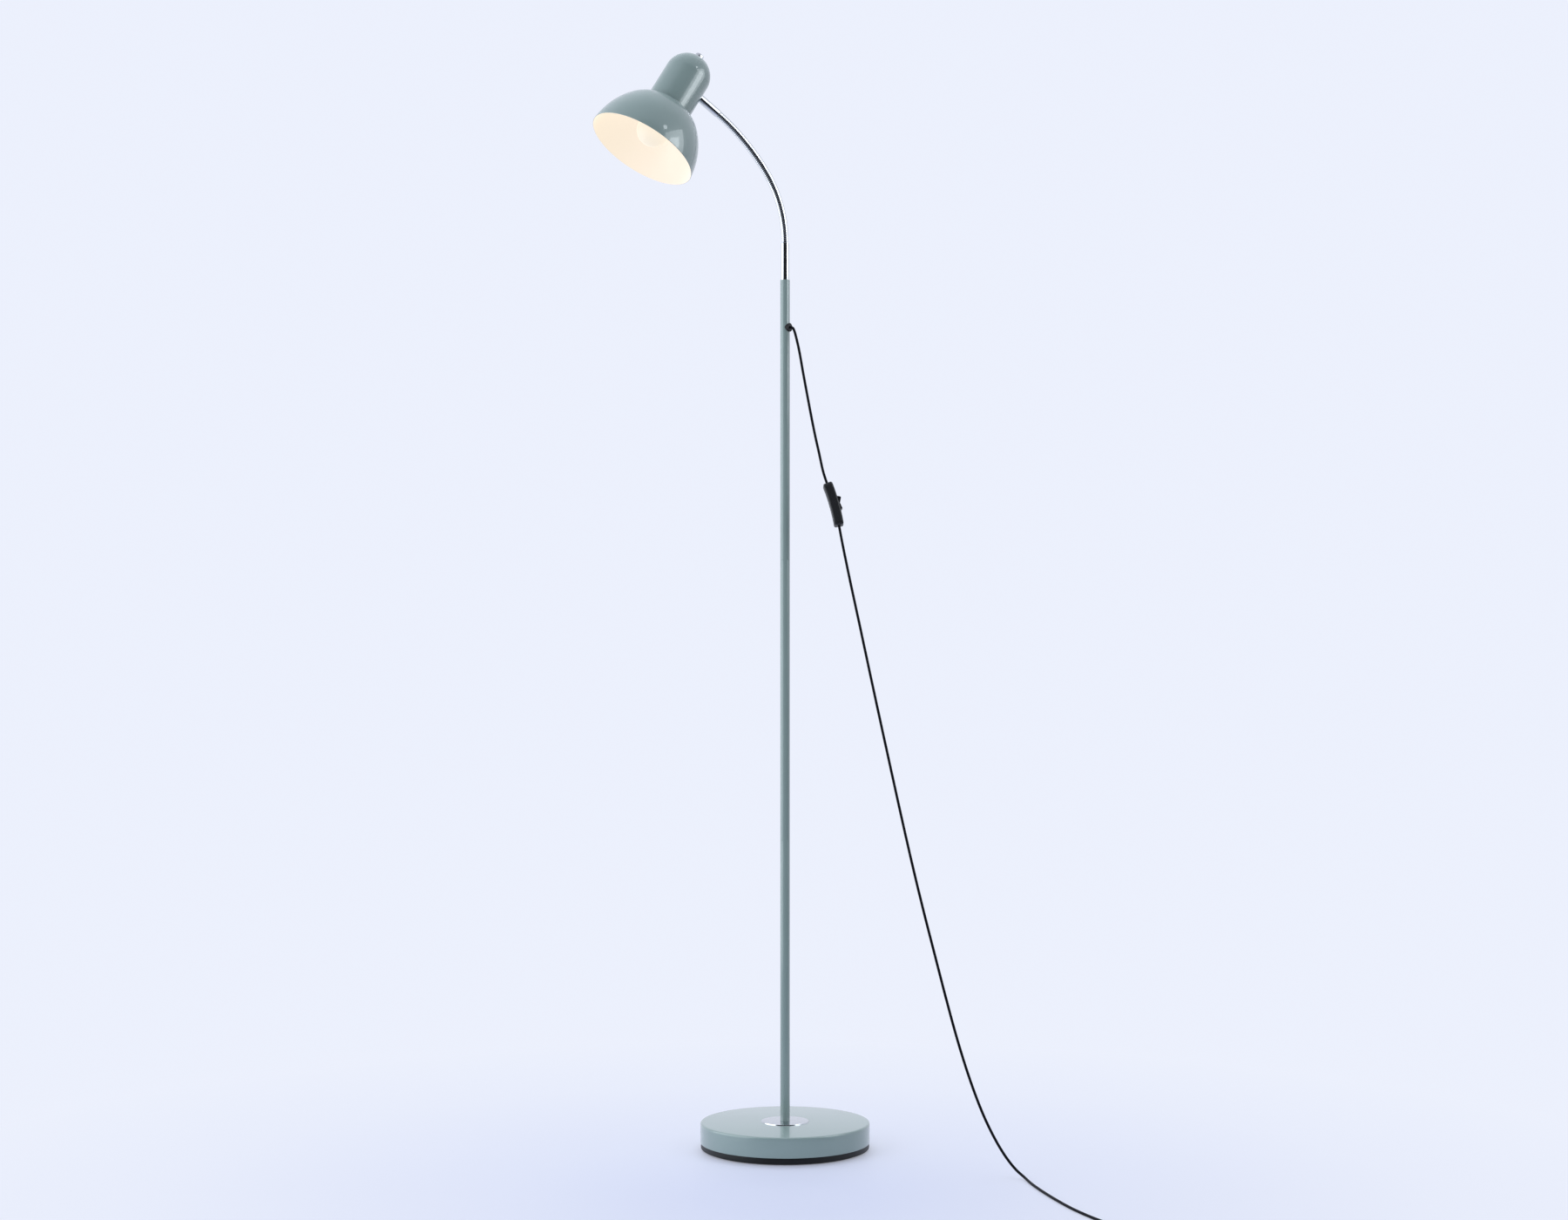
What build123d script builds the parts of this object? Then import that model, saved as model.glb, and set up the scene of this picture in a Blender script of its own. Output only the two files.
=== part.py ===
from build123d import *
import os
from math import acos, asin, ceil, cos, degrees, hypot, pi, radians, sin, sqrt, tan

# Gooseneck reading floor lamp, in millimetres. The origin is on the floor under the pole and +Z is up.
# The gooseneck bends over towards -Y, so the lamp's front is -Y. The cord hangs down on the +X side.

# ---------------------------------------------------------------- clearances
SLIP = 0.05  # on the radius of a spigot, thread or pin in its hole
SEAT = 0.1  # between curved faces that rest on each other
HOLE = 0.3  # on the radius of a clearance hole

# ---------------------------------------------------------------- base
BASE_DIAMETER = 230.0
BASE_TOP = 37.0
COVER_WALL = 1.2
COVER_EDGE_RADIUS = 3.0
TRAY_RIM_TOP = 9.7  # the cover's lower edge stands on the tray's rim
TRAY_INSET = 0.8
TRAY_WALL = 2.0
TRAY_UPSTAND = 9.0  # the lip inside the cover
PAD_THICKNESS = 1.5
PAD_INSET = 6.0
WEIGHT_THICKNESS = 14.0
WEIGHT_GAP = 1.5
BOSS_DIAMETER = 52.0
RECESS_DIAMETER = 32.0
RECESS_DEPTH = 13.0
FOOT_DISC_DIAMETER = 64.0
FOOT_DISC_THICKNESS = 1.2

# ---------------------------------------------------------------- clamp in the base
STUD_DIAMETER = 8.0
STUD_TAIL = 3.0  # thread below the nut
CLAMP_NUT_FLATS = 13.0
CLAMP_NUT_HEIGHT = 6.5
CLAMP_WASHER_DIAMETER = 24.0
CLAMP_WASHER_THICKNESS = 1.6
INSERT_LENGTH = 24.0
STUD_IN_INSERT = 22.0

# ---------------------------------------------------------------- pole
POLE_DIAMETER = 13.0
POLE_WALL = 1.0
POLE_TOP = 1178.6
POLE_SECTIONS = 3
TUBE_CHAMFER = 0.3
COUPLING_LENGTH = 44.0
COUPLING_BORE = 5.0

# ---------------------------------------------------------------- gooseneck
LOWER_FERRULE_DIAMETER = 11.5
LOWER_FERRULE_LENGTH = 51.1
FERRULE_SPIGOT = 18.0
NECK_LENGTH = 203.0
NECK_DIAMETER = 10.0
NECK_ROOT_DIAMETER = 8.9  # between two ribs
NECK_BORE = 5.0
NECK_TURN_LOW = 36.8  # degrees turned by the lower half
NECK_TURN_HIGH = 19.7  # degrees turned by the upper half
NECK_SEGMENTS = 8
RIBS_PER_SEGMENT = 10
RIB_GROOVE = 0.06  # share of the pitch that is flat at each side of a rib
RIB_FLANK = 0.24  # share of the pitch that each flank takes
GAP_ANGLE = 7.9  # slope of the end faces, which lets two segments tip by twice as much
UPPER_FERRULE_DIAMETER = 11.0
UPPER_FERRULE_LENGTH = 33.9
FERRULE_CHAMFER = 0.4

# ---------------------------------------------------------------- head, heights above the plane of the rim
RIM_DIAMETER = 148.0
DOME_RADIUS = 98.0
RIM_ANGLE = 3.5  # degrees between the wall at the rim and the axis
DOME_TURN = 35.0  # degrees of the large arc
SHOULDER_RADIUS = 58.0
FLANGE_DIAMETER = 65.2
SHADE_WALL = 0.9
CAP_DIAMETER = 62.1
CAP_TOP = 154.1
CAP_WALL = 1.0
FERRULE_HEIGHT = 111.5
FERRULE_THREAD_DIAMETER = 9.8
FERRULE_THREAD_LENGTH = 12.0
SADDLE_WASHER_DIAMETER = 16.0
SADDLE_WASHER_THICKNESS = 2.6
LOCK_NUT_FLATS = 14.0
LOCK_NUT_HEIGHT = 3.5
FINIAL_DIAMETER = 13.0
FINIAL_HEIGHT = 6.0
FINIAL_THREAD_DEPTH = 4.2
HOLDER_STUD_DIAMETER = 8.0
HOLDER_STUD_HEAD = 13.0
HOLDER_STUD_HEAD_THICKNESS = 1.6

# ---------------------------------------------------------------- lampholder
HOLDER_DIAMETER = 38.8
HOLDER_WALL = 2.9
HOLDER_MOUTH = 54.0
HOLDER_SPLIT = 88.0  # where the holder's cap meets its body
HOLDER_TOP = 103.0
HOLDER_CAP_WALL = 2.5
SHOULDER_WIDTH = 3.6
SHOULDER_THICKNESS = 2.5
RING_NUT_DIAMETER = 50.0
RING_NUT_HEIGHT = 5.0
SCREW_SHELL_DIAMETER = 27.8
SCREW_SHELL_WALL = 0.5
SCREW_SHELL_BOTTOM = 58.0
SCREW_SHELL_HOLE = 14.0
BLOCK_BOTTOM = 86.5
BLOCK_THICKNESS = 6.0
TERMINAL_OFFSET = 8.0
TERMINAL_HEAD_DIAMETER = 5.0
TERMINAL_HEAD_HEIGHT = 2.2
TERMINAL_SHANK_DIAMETER = 2.8
TERMINAL_SHANK_LENGTH = 4.0
CONTACT_WIDTH = 4.0
CONTACT_THICKNESS = 0.4
CONTACT_REACH = 5.5

# ---------------------------------------------------------------- bulb
BULB_DIAMETER = 45.0
BULB_CENTRE = 32.0
BULB_NECK_DIAMETER = 24.8
BULB_NECK_BOTTOM = 57.0
BULB_NECK_TOP = 66.0
BULB_GLASS_WALL = 0.8
BULB_SHELL_CLEARANCE = 0.3
BULB_SHELL_WALL = 0.4
BULB_SHELL_BOTTOM = 59.0
BULB_SHELL_TOP = 81.0
BULB_TIP_DIAMETER = 9.4
BULB_TIP_THICKNESS = 1.2
BULB_INSULATOR_HEIGHT = 2.2
CONTACT_GAP = 0.3

# ---------------------------------------------------------------- cord
CORD_DIAMETER = 3.6
CORE_DIAMETER = 1.6
CORE_SPACING = 1.9
CORE_CLEARANCE = 0.1  # between the cord's cut end and its bared cores
CORD_AZIMUTH = 26.0  # degrees from +X to the vertical plane that the cord hangs in
GROMMET_BELOW_TOP = 64.6  # from the top of the pole down to the grommet
GROMMET_DIAMETER = 11.6
GROMMET_HOLE = 8.0
GROMMET_STAND_OUT = 1.6
GROMMET_LIP = 9.0
GROMMET_LIP_THICKNESS = 1.0
ENTRY_BEND = 4.2  # radius of the cord's centreline where it turns up inside the tube
FLOOR_CORD = 1.9  # height of the centreline where the cord lies on the floor
RUN_SHARE = 0.45  # share of the shorter run that an arc may take

# ---------------------------------------------------------------- in-line switch
SWITCH_REACH = 78.3
SWITCH_HEIGHT = 872.3
SWITCH_LEAN = 18.3
SWITCH_FACE = 58.5  # azimuth that the rocker faces
SWITCH_LENGTH = 60.0
SWITCH_WIDTH = 23.0
SWITCH_THICKNESS = 12.8
SWITCH_ARCH = 280.0
SWITCH_WALL = 1.6
SWITCH_CORNER_RADIUS = 5.0
SWITCH_EDGE_RADIUS = 2.6
CORD_IN_SWITCH = 4.5
STRAIGHT_AT_SWITCH = 12.0  # how far the cord keeps the switch's direction outside it
ROCKER_RADIUS = 9.6
ROCKER_WIDTH = 10.2
ROCKER_PROUD = 3.8  # how far both ends stand out when the rocker is level
ROCKER_DIP = 1.4  # how far its middle stands out
ROCKER_DEPTH = 4.0
ROCKER_PIVOT_DEPTH = 1.9
ROCKER_GAP = 0.3
ROCKER_TILT = 8.0
ROCKER_PIN_DIAMETER = 2.4
EAR_THICKNESS = 1.8
EAR_WIDTH = 6.0
EAR_DEPTH = 2.6
CONTACT_BLOCK_SIZE = (5.0, 3.9, 5.0)
CONTACT_BLOCK_PLACE = 8.0
SWITCH_SCREW_PLACE = (20.0, 7.0)
SWITCH_SCREW_DIAMETER = 2.4
SWITCH_SCREW_HEAD = 4.2
SWITCH_SCREW_HEAD_HEIGHT = 1.2
SWITCH_BOSS_DIAMETER = 5.0

# ---------------------------------------------------------------- plug
PLUG_PLACE = (652.0, -20.0)
PLUG_AZIMUTH = -56.0
PLUG_LENGTH = 35.0
PLUG_WIDTH = 35.3
PLUG_THICKNESS = 13.7
PLUG_REAR = (11.0, 9.0)
PLUG_MIDDLE = (26.0, 13.0)
PLUG_CORNER = 3.5
RELIEF_LENGTH = 20.0
RELIEF_DIAMETERS = (5.4, 7.4)
PIN_DIAMETER = 4.0
PIN_LENGTH = 18.0
PIN_TIP = 1.0
PIN_SPACING = 18.6
PIN_ROOT_LENGTH = 8.0
PIN_ROOT_DIAMETER = 5.2

# ---------------------------------------------------------------- coil
COIL_ENTRY = (622.0, 78.5)
COIL_HEADING = -15.0
COIL_RADIUS = 24.5
COIL_PITCH = 4.8
COIL_RISE = 4.4
COIL_HEIGHT = 3.0
HALF_TURNS_DOWN = 4
HALF_TURNS_UP = 3
STRAIGHT_AT_COIL = 26.0  # run of cord in line with the coil's lead-in
TIE_WIDTH = 6.0
TIE_THICKNESS = 0.8
TIE_CLEARANCE = 0.3

# ---------------------------------------------------------------- worked out from the sizes above
BASE_RADIUS = BASE_DIAMETER / 2
TRAY_RADIUS = BASE_RADIUS - TRAY_INSET
COVER_INNER_RADIUS = BASE_RADIUS - COVER_WALL
UPSTAND_RADIUS = COVER_INNER_RADIUS - SEAT
TRAY_FLOOR_TOP = PAD_THICKNESS + TRAY_WALL
WEIGHT_RADIUS = UPSTAND_RADIUS - TRAY_WALL - WEIGHT_GAP
COVER_UNDERSIDE = BASE_TOP - COVER_WALL
STUD_HOLE_RADIUS = STUD_DIAMETER / 2 + HOLE
WASHER_TOP = TRAY_FLOOR_TOP + RECESS_DEPTH
NUT_TOP = WASHER_TOP - CLAMP_WASHER_THICKNESS
NUT_BOTTOM = NUT_TOP - CLAMP_NUT_HEIGHT
POLE_BOTTOM = BASE_TOP + FOOT_DISC_THICKNESS
POLE_RADIUS = POLE_DIAMETER / 2
POLE_BORE_RADIUS = POLE_RADIUS - POLE_WALL
SECTION_LENGTH = (POLE_TOP - POLE_BOTTOM) / POLE_SECTIONS
NECK_BASE = POLE_TOP + LOWER_FERRULE_LENGTH
GROMMET_HEIGHT = POLE_TOP - GROMMET_BELOW_TOP
NECK_BORE_RADIUS = NECK_BORE / 2
HALF_NECK = NECK_LENGTH / 2
LOW_RADIUS = HALF_NECK / radians(NECK_TURN_LOW)
HIGH_RADIUS = HALF_NECK / radians(NECK_TURN_HIGH)
SEGMENT_LENGTH = NECK_LENGTH / NECK_SEGMENTS
NECK_TURN = radians(NECK_TURN_LOW + NECK_TURN_HIGH)
CORD_RADIUS = CORD_DIAMETER / 2
CORD_HOLE_RADIUS = CORD_RADIUS + SLIP
CAP_RADIUS = CAP_DIAMETER / 2
CAP_INNER_RADIUS = CAP_RADIUS - CAP_WALL
HOLDER_RADIUS = HOLDER_DIAMETER / 2
HOLDER_BORE_RADIUS = HOLDER_RADIUS - HOLDER_WALL
SCREW_SHELL_RADIUS = SCREW_SHELL_DIAMETER / 2
HOLDER_CAVITY_TOP = HOLDER_TOP - HOLDER_CAP_WALL
BLOCK_TOP = BLOCK_BOTTOM + BLOCK_THICKNESS
BULB_SHELL_RADIUS = SCREW_SHELL_RADIUS - SCREW_SHELL_WALL - BULB_SHELL_CLEARANCE
BULB_TIP_TOP = BULB_SHELL_TOP + BULB_INSULATOR_HEIGHT + BULB_TIP_THICKNESS
HALF_SWITCH = SWITCH_THICKNESS / 2
COIL_TOP_HEIGHT = COIL_HEIGHT + COIL_RISE


def neck_point(length):
    """The gooseneck's centreline at a length from its lower end, and the angle turned there, in radians."""
    low = min(length, HALF_NECK) / LOW_RADIUS
    forward = LOW_RADIUS * (1 - cos(low))
    height = LOW_RADIUS * sin(low)
    angle = low
    if length > HALF_NECK:
        angle = low + (length - HALF_NECK) / HIGH_RADIUS
        forward += HIGH_RADIUS * (cos(low) - cos(angle))
        height += HIGH_RADIUS * (sin(angle) - sin(low))
    return Vector(0, -forward, NECK_BASE + height), angle


def neck_plane(length):
    """A plane square to the gooseneck, with X steady along its hinges."""
    point, angle = neck_point(length)
    return Plane(origin=point, x_dir=(1, 0, 0), z_dir=(0, -sin(angle), cos(angle)))


def neck_path(start, end):
    """The centreline between two lengths that lie in one half of the gooseneck."""
    points = [neck_point(length)[0] for length in (start, (start + end) / 2, end)]
    return ThreePointArc(*points)


NECK_END = neck_point(NECK_LENGTH)[0]
NECK_DIRECTION = Vector(0, -sin(NECK_TURN), cos(NECK_TURN))
HEAD_AXIS = Vector(0, cos(NECK_TURN), sin(NECK_TURN))
FERRULE_ON_AXIS = NECK_END + NECK_DIRECTION * (UPPER_FERRULE_LENGTH + CAP_RADIUS)
HEAD_PLANE = Plane(origin=FERRULE_ON_AXIS - HEAD_AXIS * FERRULE_HEIGHT, x_dir=(1, 0, 0), z_dir=HEAD_AXIS)
HINGE_REACH = CAP_RADIUS + UPPER_FERRULE_LENGTH  # from the head's axis to the last hinge


# ---------------------------------------------------------------- small tools
def turned(*outline):
    """A solid of revolution about Z from a closed outline of (radius, height) points."""
    return revolve(Plane.XZ * make_face(Polyline(*outline, close=True)), Axis.Z)


def tube(outer, inner, low, high):
    """A plain ring or tube between two heights."""
    return turned((inner, low), (outer, low), (outer, high), (inner, high))


def rod(radius, low, high):
    """A plain cylinder between two heights."""
    return Pos(0, 0, low) * Cylinder(radius, high - low, align=(Align.CENTER, Align.CENTER, Align.MIN))


def hexagon(flats, bore_radius, low, high):
    """A hexagon nut between two heights."""
    blank = extrude(RegularPolygon(flats / 2, 6, major_radius=False), high - low)
    return Pos(0, 0, low) * blank - rod(bore_radius, low, high)


def slope(radius):
    """How far a sloping end face lies from its hinge point, at a radius."""
    return radius * tan(radians(GAP_ANGLE))


def box(low, high):
    """A block between two corners."""
    size = [high[i] - low[i] for i in range(3)]
    middle = [(high[i] + low[i]) / 2 for i in range(3)]
    return Pos(*middle) * Box(*size)


def swept(path, radius):
    """A round tube along a path."""
    return sweep(Plane(origin=path @ 0, z_dir=path % 0) * Circle(radius), path=path)


# ---------------------------------------------------------------- base
def base_pad():
    return rod(TRAY_RADIUS - PAD_INSET, 0, PAD_THICKNESS)


def base_tray():
    rim_inner = UPSTAND_RADIUS - TRAY_WALL
    return turned(
        (0, PAD_THICKNESS),
        (TRAY_RADIUS, PAD_THICKNESS),
        (TRAY_RADIUS, TRAY_RIM_TOP),
        (UPSTAND_RADIUS, TRAY_RIM_TOP),
        (UPSTAND_RADIUS, TRAY_RIM_TOP + TRAY_UPSTAND),
        (rim_inner, TRAY_RIM_TOP + TRAY_UPSTAND),
        (rim_inner, TRAY_FLOOR_TOP),
        (0, TRAY_FLOOR_TOP),
    )


def base_weight():
    weight_top = TRAY_FLOOR_TOP + WEIGHT_THICKNESS
    return turned(
        (RECESS_DIAMETER / 2, TRAY_FLOOR_TOP),
        (WEIGHT_RADIUS, TRAY_FLOOR_TOP),
        (WEIGHT_RADIUS, weight_top),
        (BOSS_DIAMETER / 2, weight_top),
        (BOSS_DIAMETER / 2, COVER_UNDERSIDE),
        (STUD_HOLE_RADIUS, COVER_UNDERSIDE),
        (STUD_HOLE_RADIUS, WASHER_TOP),
        (RECESS_DIAMETER / 2, WASHER_TOP),
    )


def base_cover():
    blank = rod(BASE_RADIUS, TRAY_RIM_TOP, BASE_TOP)
    blank = fillet(blank.edges().group_by(Axis.Z)[-1], COVER_EDGE_RADIUS)
    hollow = rod(COVER_INNER_RADIUS, TRAY_RIM_TOP, COVER_UNDERSIDE)
    hollow = fillet(hollow.edges().group_by(Axis.Z)[-1], max(COVER_EDGE_RADIUS - COVER_WALL, SEAT))
    return blank - hollow - rod(STUD_HOLE_RADIUS, 0, BASE_TOP)


def clamp_stud():
    return rod(STUD_DIAMETER / 2, NUT_BOTTOM - STUD_TAIL, POLE_BOTTOM + STUD_IN_INSERT)


def clamp_nut():
    return hexagon(CLAMP_NUT_FLATS, STUD_DIAMETER / 2 + SLIP, NUT_BOTTOM, NUT_TOP)


def clamp_washer():
    return tube(CLAMP_WASHER_DIAMETER / 2, STUD_HOLE_RADIUS, NUT_TOP, WASHER_TOP)


def foot_disc():
    disc = tube(FOOT_DISC_DIAMETER / 2, STUD_HOLE_RADIUS, BASE_TOP, POLE_BOTTOM)
    rim = disc.edges().filter_by(GeomType.CIRCLE).group_by(Axis.Z)[-1].sort_by(SortBy.RADIUS)[-1]
    return chamfer(rim, FOOT_DISC_THICKNESS / 3)


def tube_insert():
    outer = POLE_BORE_RADIUS - SLIP
    return tube(outer, STUD_DIAMETER / 2 + SLIP, POLE_BOTTOM, POLE_BOTTOM + INSERT_LENGTH)


# ---------------------------------------------------------------- pole
def pole_section(index):
    """One length of tube, counted from the floor. Its ends are chamfered, which shows as a seam."""
    low = POLE_BOTTOM + index * SECTION_LENGTH
    high = low + SECTION_LENGTH
    edge = POLE_RADIUS - TUBE_CHAMFER
    return turned(
        (POLE_BORE_RADIUS, low),
        (edge, low),
        (POLE_RADIUS, low + TUBE_CHAMFER),
        (POLE_RADIUS, high - TUBE_CHAMFER),
        (edge, high),
        (POLE_BORE_RADIUS, high),
    )


def pole_couplings():
    """The plugs inside the seams between the tubes."""
    outer = POLE_BORE_RADIUS - SLIP
    reach = COUPLING_LENGTH / 2
    seams = [POLE_BOTTOM + index * SECTION_LENGTH for index in range(1, POLE_SECTIONS)]
    return Compound(children=[tube(outer, COUPLING_BORE / 2, seam - reach, seam + reach) for seam in seams])


def along_cord(shape):
    """Turns a shape made along +X to the cord's side of the pole."""
    return Rot(0, 0, CORD_AZIMUTH) * shape


def radial_rod(radius, start, end):
    """A cylinder along +X at the grommet's height."""
    return Pos(0, 0, GROMMET_HEIGHT) * Rot(0, 90, 0) * rod(radius, start, end)


def grommet():
    """A rubber bush in the wall of the tube, with a flange outside and a lip inside."""
    low = GROMMET_HEIGHT - GROMMET_DIAMETER
    high = GROMMET_HEIGHT + GROMMET_DIAMETER
    outside = radial_rod(GROMMET_DIAMETER / 2, 0, POLE_RADIUS + GROMMET_STAND_OUT)
    outside -= rod(POLE_RADIUS + SEAT, low, high)
    lip_start = POLE_BORE_RADIUS - GROMMET_LIP_THICKNESS
    lip = radial_rod(GROMMET_LIP / 2, lip_start, POLE_RADIUS) & rod(POLE_BORE_RADIUS - SEAT, low, high)
    neck = radial_rod(GROMMET_HOLE / 2 - SLIP, lip_start, POLE_RADIUS + GROMMET_STAND_OUT)
    bush = outside + neck + lip
    return along_cord(bush - radial_rod(CORD_HOLE_RADIUS, 0, POLE_RADIUS + 2 * GROMMET_STAND_OUT))


def grommet_hole():
    return along_cord(radial_rod(GROMMET_HOLE / 2, 0, 2 * POLE_RADIUS))


# ---------------------------------------------------------------- gooseneck
def lower_ferrule():
    outer = LOWER_FERRULE_DIAMETER / 2
    spigot = POLE_BORE_RADIUS - SLIP
    return turned(
        (NECK_BORE_RADIUS, POLE_TOP - FERRULE_SPIGOT),
        (spigot, POLE_TOP - FERRULE_SPIGOT),
        (spigot, POLE_TOP),
        (outer, POLE_TOP),
        (outer, NECK_BASE - slope(outer) - FERRULE_CHAMFER),
        (outer - FERRULE_CHAMFER, NECK_BASE - slope(outer)),
        (NECK_BORE_RADIUS, NECK_BASE - slope(NECK_BORE_RADIUS)),
    )


def rib_stations(start):
    """(length, radius) of each circle along one segment, four for each rib."""
    pitch = SEGMENT_LENGTH / RIBS_PER_SEGMENT
    root = NECK_ROOT_DIAMETER / 2
    crest = NECK_DIAMETER / 2
    inside = NECK_BORE_RADIUS - HOLE
    stations = []
    for rib in range(RIBS_PER_SEGMENT):
        low = start + rib * pitch
        stations.append((low + RIB_GROOVE * pitch, root))
        stations.append((low + (RIB_GROOVE + RIB_FLANK) * pitch, crest))
        stations.append((low + (1 - RIB_GROOVE - RIB_FLANK) * pitch, crest))
        stations.append((low + (1 - RIB_GROOVE) * pitch, root))
    end = start + SEGMENT_LENGTH
    stations[0] = (start + slope(root), root)
    stations[-1] = (end - slope(root), root)
    return [(start + slope(inside), inside)] + stations + [(end - slope(inside), inside)]


def neck_segment(index):
    """One piece of the gooseneck. Its end faces slope back from the hinge points on its axis."""
    start = index * SEGMENT_LENGTH
    circles = [neck_plane(length) * Circle(radius) for length, radius in rib_stations(start)]
    ribs = loft(circles, ruled=True)
    bore = swept(neck_path(start, start + SEGMENT_LENGTH), NECK_BORE_RADIUS)
    return ribs - bore


def upper_ferrule():
    """In the head's frame: a turned sleeve along +Y with a thread that goes through the cap's wall."""
    outer = UPPER_FERRULE_DIAMETER / 2
    thread = FERRULE_THREAD_DIAMETER / 2
    inner_end = CAP_INNER_RADIUS - FERRULE_THREAD_LENGTH
    shape = turned(
        (NECK_BORE_RADIUS, inner_end),
        (thread, inner_end),
        (thread, CAP_INNER_RADIUS),
        (outer, CAP_INNER_RADIUS),
        (outer, HINGE_REACH - slope(outer) - FERRULE_CHAMFER),
        (outer - FERRULE_CHAMFER, HINGE_REACH - slope(outer)),
        (NECK_BORE_RADIUS, HINGE_REACH - slope(NECK_BORE_RADIUS)),
    )
    collar = tube(2 * outer, thread, 0, HINGE_REACH) & ferrule_side(rod(CAP_RADIUS + SEAT, 0, CAP_TOP), True)
    return ferrule_side(shape - collar)


def ferrule_side(shape, back=False):
    """Moves a shape made along +Z, from the head's axis, to the ferrule's place, or the other way."""
    place = Plane(origin=(0, 0, FERRULE_HEIGHT), x_dir=(1, 0, 0), z_dir=(0, 1, 0)).location
    return (place.inverse() if back else place) * shape


def saddle_washer():
    low = CAP_INNER_RADIUS - SADDLE_WASHER_THICKNESS
    bore = FERRULE_THREAD_DIAMETER / 2 + SLIP
    blank = ferrule_side(tube(SADDLE_WASHER_DIAMETER / 2, bore, low, CAP_RADIUS))
    return blank & rod(CAP_INNER_RADIUS - SEAT, 0, CAP_TOP)


def lock_nut():
    high = CAP_INNER_RADIUS - SADDLE_WASHER_THICKNESS
    bore = FERRULE_THREAD_DIAMETER / 2 + SLIP
    return ferrule_side(hexagon(LOCK_NUT_FLATS, bore, high - LOCK_NUT_HEIGHT, high))


# ---------------------------------------------------------------- shade and cap
def dome_centres():
    """Centres of the large arc and of the shoulder arc, as (radius, height)."""
    angle = radians(RIM_ANGLE)
    low = (RIM_DIAMETER / 2 - DOME_RADIUS * cos(angle), -DOME_RADIUS * sin(angle))
    turn = radians(RIM_ANGLE + DOME_TURN)
    step = DOME_RADIUS - SHOULDER_RADIUS
    return low, (low[0] + step * cos(turn), low[1] + step * sin(turn))


def dome_top():
    """Height of the flat flange on top of the dome."""
    high = dome_centres()[1]
    return high[1] + SHOULDER_RADIUS * sin(acos((FLANGE_DIAMETER / 2 - high[0]) / SHOULDER_RADIUS))


def dome_fill(inset):
    """The dome's outline, moved in by the inset, as a filled solid of revolution."""
    low, high = dome_centres()
    large = DOME_RADIUS - inset
    small = SHOULDER_RADIUS - inset
    top = dome_top() - inset
    start = degrees(asin(-low[1] / large))
    turn = RIM_ANGLE + DOME_TURN
    end = degrees(asin((top - high[1]) / small))
    lower = CenterArc(low, large, start, turn - start)
    upper = CenterArc(high, small, turn, end - turn)
    flat = Polyline(upper @ 1, (0, top), (0, 0), lower @ 0)
    return revolve(Plane.XZ * make_face([lower, upper, flat]), Axis.Z)


def shade():
    """The spun dome, open at the rim, with a hole in its flange for the lampholder."""
    hole = rod(HOLDER_RADIUS + HOLE, 0, 2 * dome_top())
    return dome_fill(0) - dome_fill(SHADE_WALL) - hole


def cap_fill(radius):
    """A cylinder with a half round top, standing on the dome."""
    high = CAP_TOP - CAP_RADIUS
    side = Polyline((0, high + radius), (0, dome_top()), (radius, dome_top()), (radius, high))
    crown = RadiusArc((radius, high), (0, high + radius), -radius)
    return revolve(Plane.XZ * make_face([side, crown]), Axis.Z)


def cap_shell():
    stud_hole = rod(HOLDER_STUD_DIAMETER / 2 + HOLE, 0, CAP_TOP)
    ferrule_hole = ferrule_side(rod(FERRULE_THREAD_DIAMETER / 2 + HOLE, 0, CAP_DIAMETER))
    return cap_fill(CAP_RADIUS) - cap_fill(CAP_INNER_RADIUS) - stud_hole - ferrule_hole


def finial_seat():
    """Where the nut rests on the rounded cap, at the edge of the stud's hole."""
    edge = HOLDER_STUD_DIAMETER / 2 + HOLE
    return CAP_TOP - CAP_RADIUS + sqrt(CAP_RADIUS**2 - edge**2)


def finial_nut():
    """The small domed nut on top of the cap."""
    seat = finial_seat()
    blank = rod(FINIAL_DIAMETER / 2, seat, seat + FINIAL_HEIGHT)
    blank = fillet(blank.edges().group_by(Axis.Z)[-1], FINIAL_HEIGHT / 2)
    blank = chamfer(blank.edges().group_by(Axis.Z)[0], FERRULE_CHAMFER)
    bore = rod(HOLDER_STUD_DIAMETER / 2 + SLIP, seat, seat + FINIAL_THREAD_DEPTH)
    return blank - bore


def holder_stud():
    """Hangs the lampholder from the nut on the cap."""
    top = finial_seat() + FINIAL_THREAD_DEPTH - SEAT
    shank = rod(HOLDER_STUD_DIAMETER / 2, HOLDER_CAVITY_TOP - HOLDER_STUD_HEAD_THICKNESS, top)
    head = rod(HOLDER_STUD_HEAD / 2, HOLDER_CAVITY_TOP - HOLDER_STUD_HEAD_THICKNESS, HOLDER_CAVITY_TOP)
    return shank + head


# ---------------------------------------------------------------- lampholder
def holder_body():
    """The sleeve round the screw shell, with a shoulder under the dome's flange."""
    shoulder_top = dome_top() - SHADE_WALL
    shoulder = HOLDER_RADIUS + SHOULDER_WIDTH
    return turned(
        (HOLDER_BORE_RADIUS, HOLDER_MOUTH),
        (HOLDER_RADIUS, HOLDER_MOUTH),
        (HOLDER_RADIUS, shoulder_top - SHOULDER_THICKNESS),
        (shoulder, shoulder_top - SHOULDER_THICKNESS),
        (shoulder, shoulder_top),
        (HOLDER_RADIUS, shoulder_top),
        (HOLDER_RADIUS, HOLDER_SPLIT),
        (HOLDER_BORE_RADIUS, HOLDER_SPLIT),
    )


def shade_ring():
    """The ring nut inside the cap that clamps the dome's flange."""
    return tube(RING_NUT_DIAMETER / 2, HOLDER_RADIUS + SLIP, dome_top(), dome_top() + RING_NUT_HEIGHT)


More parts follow.
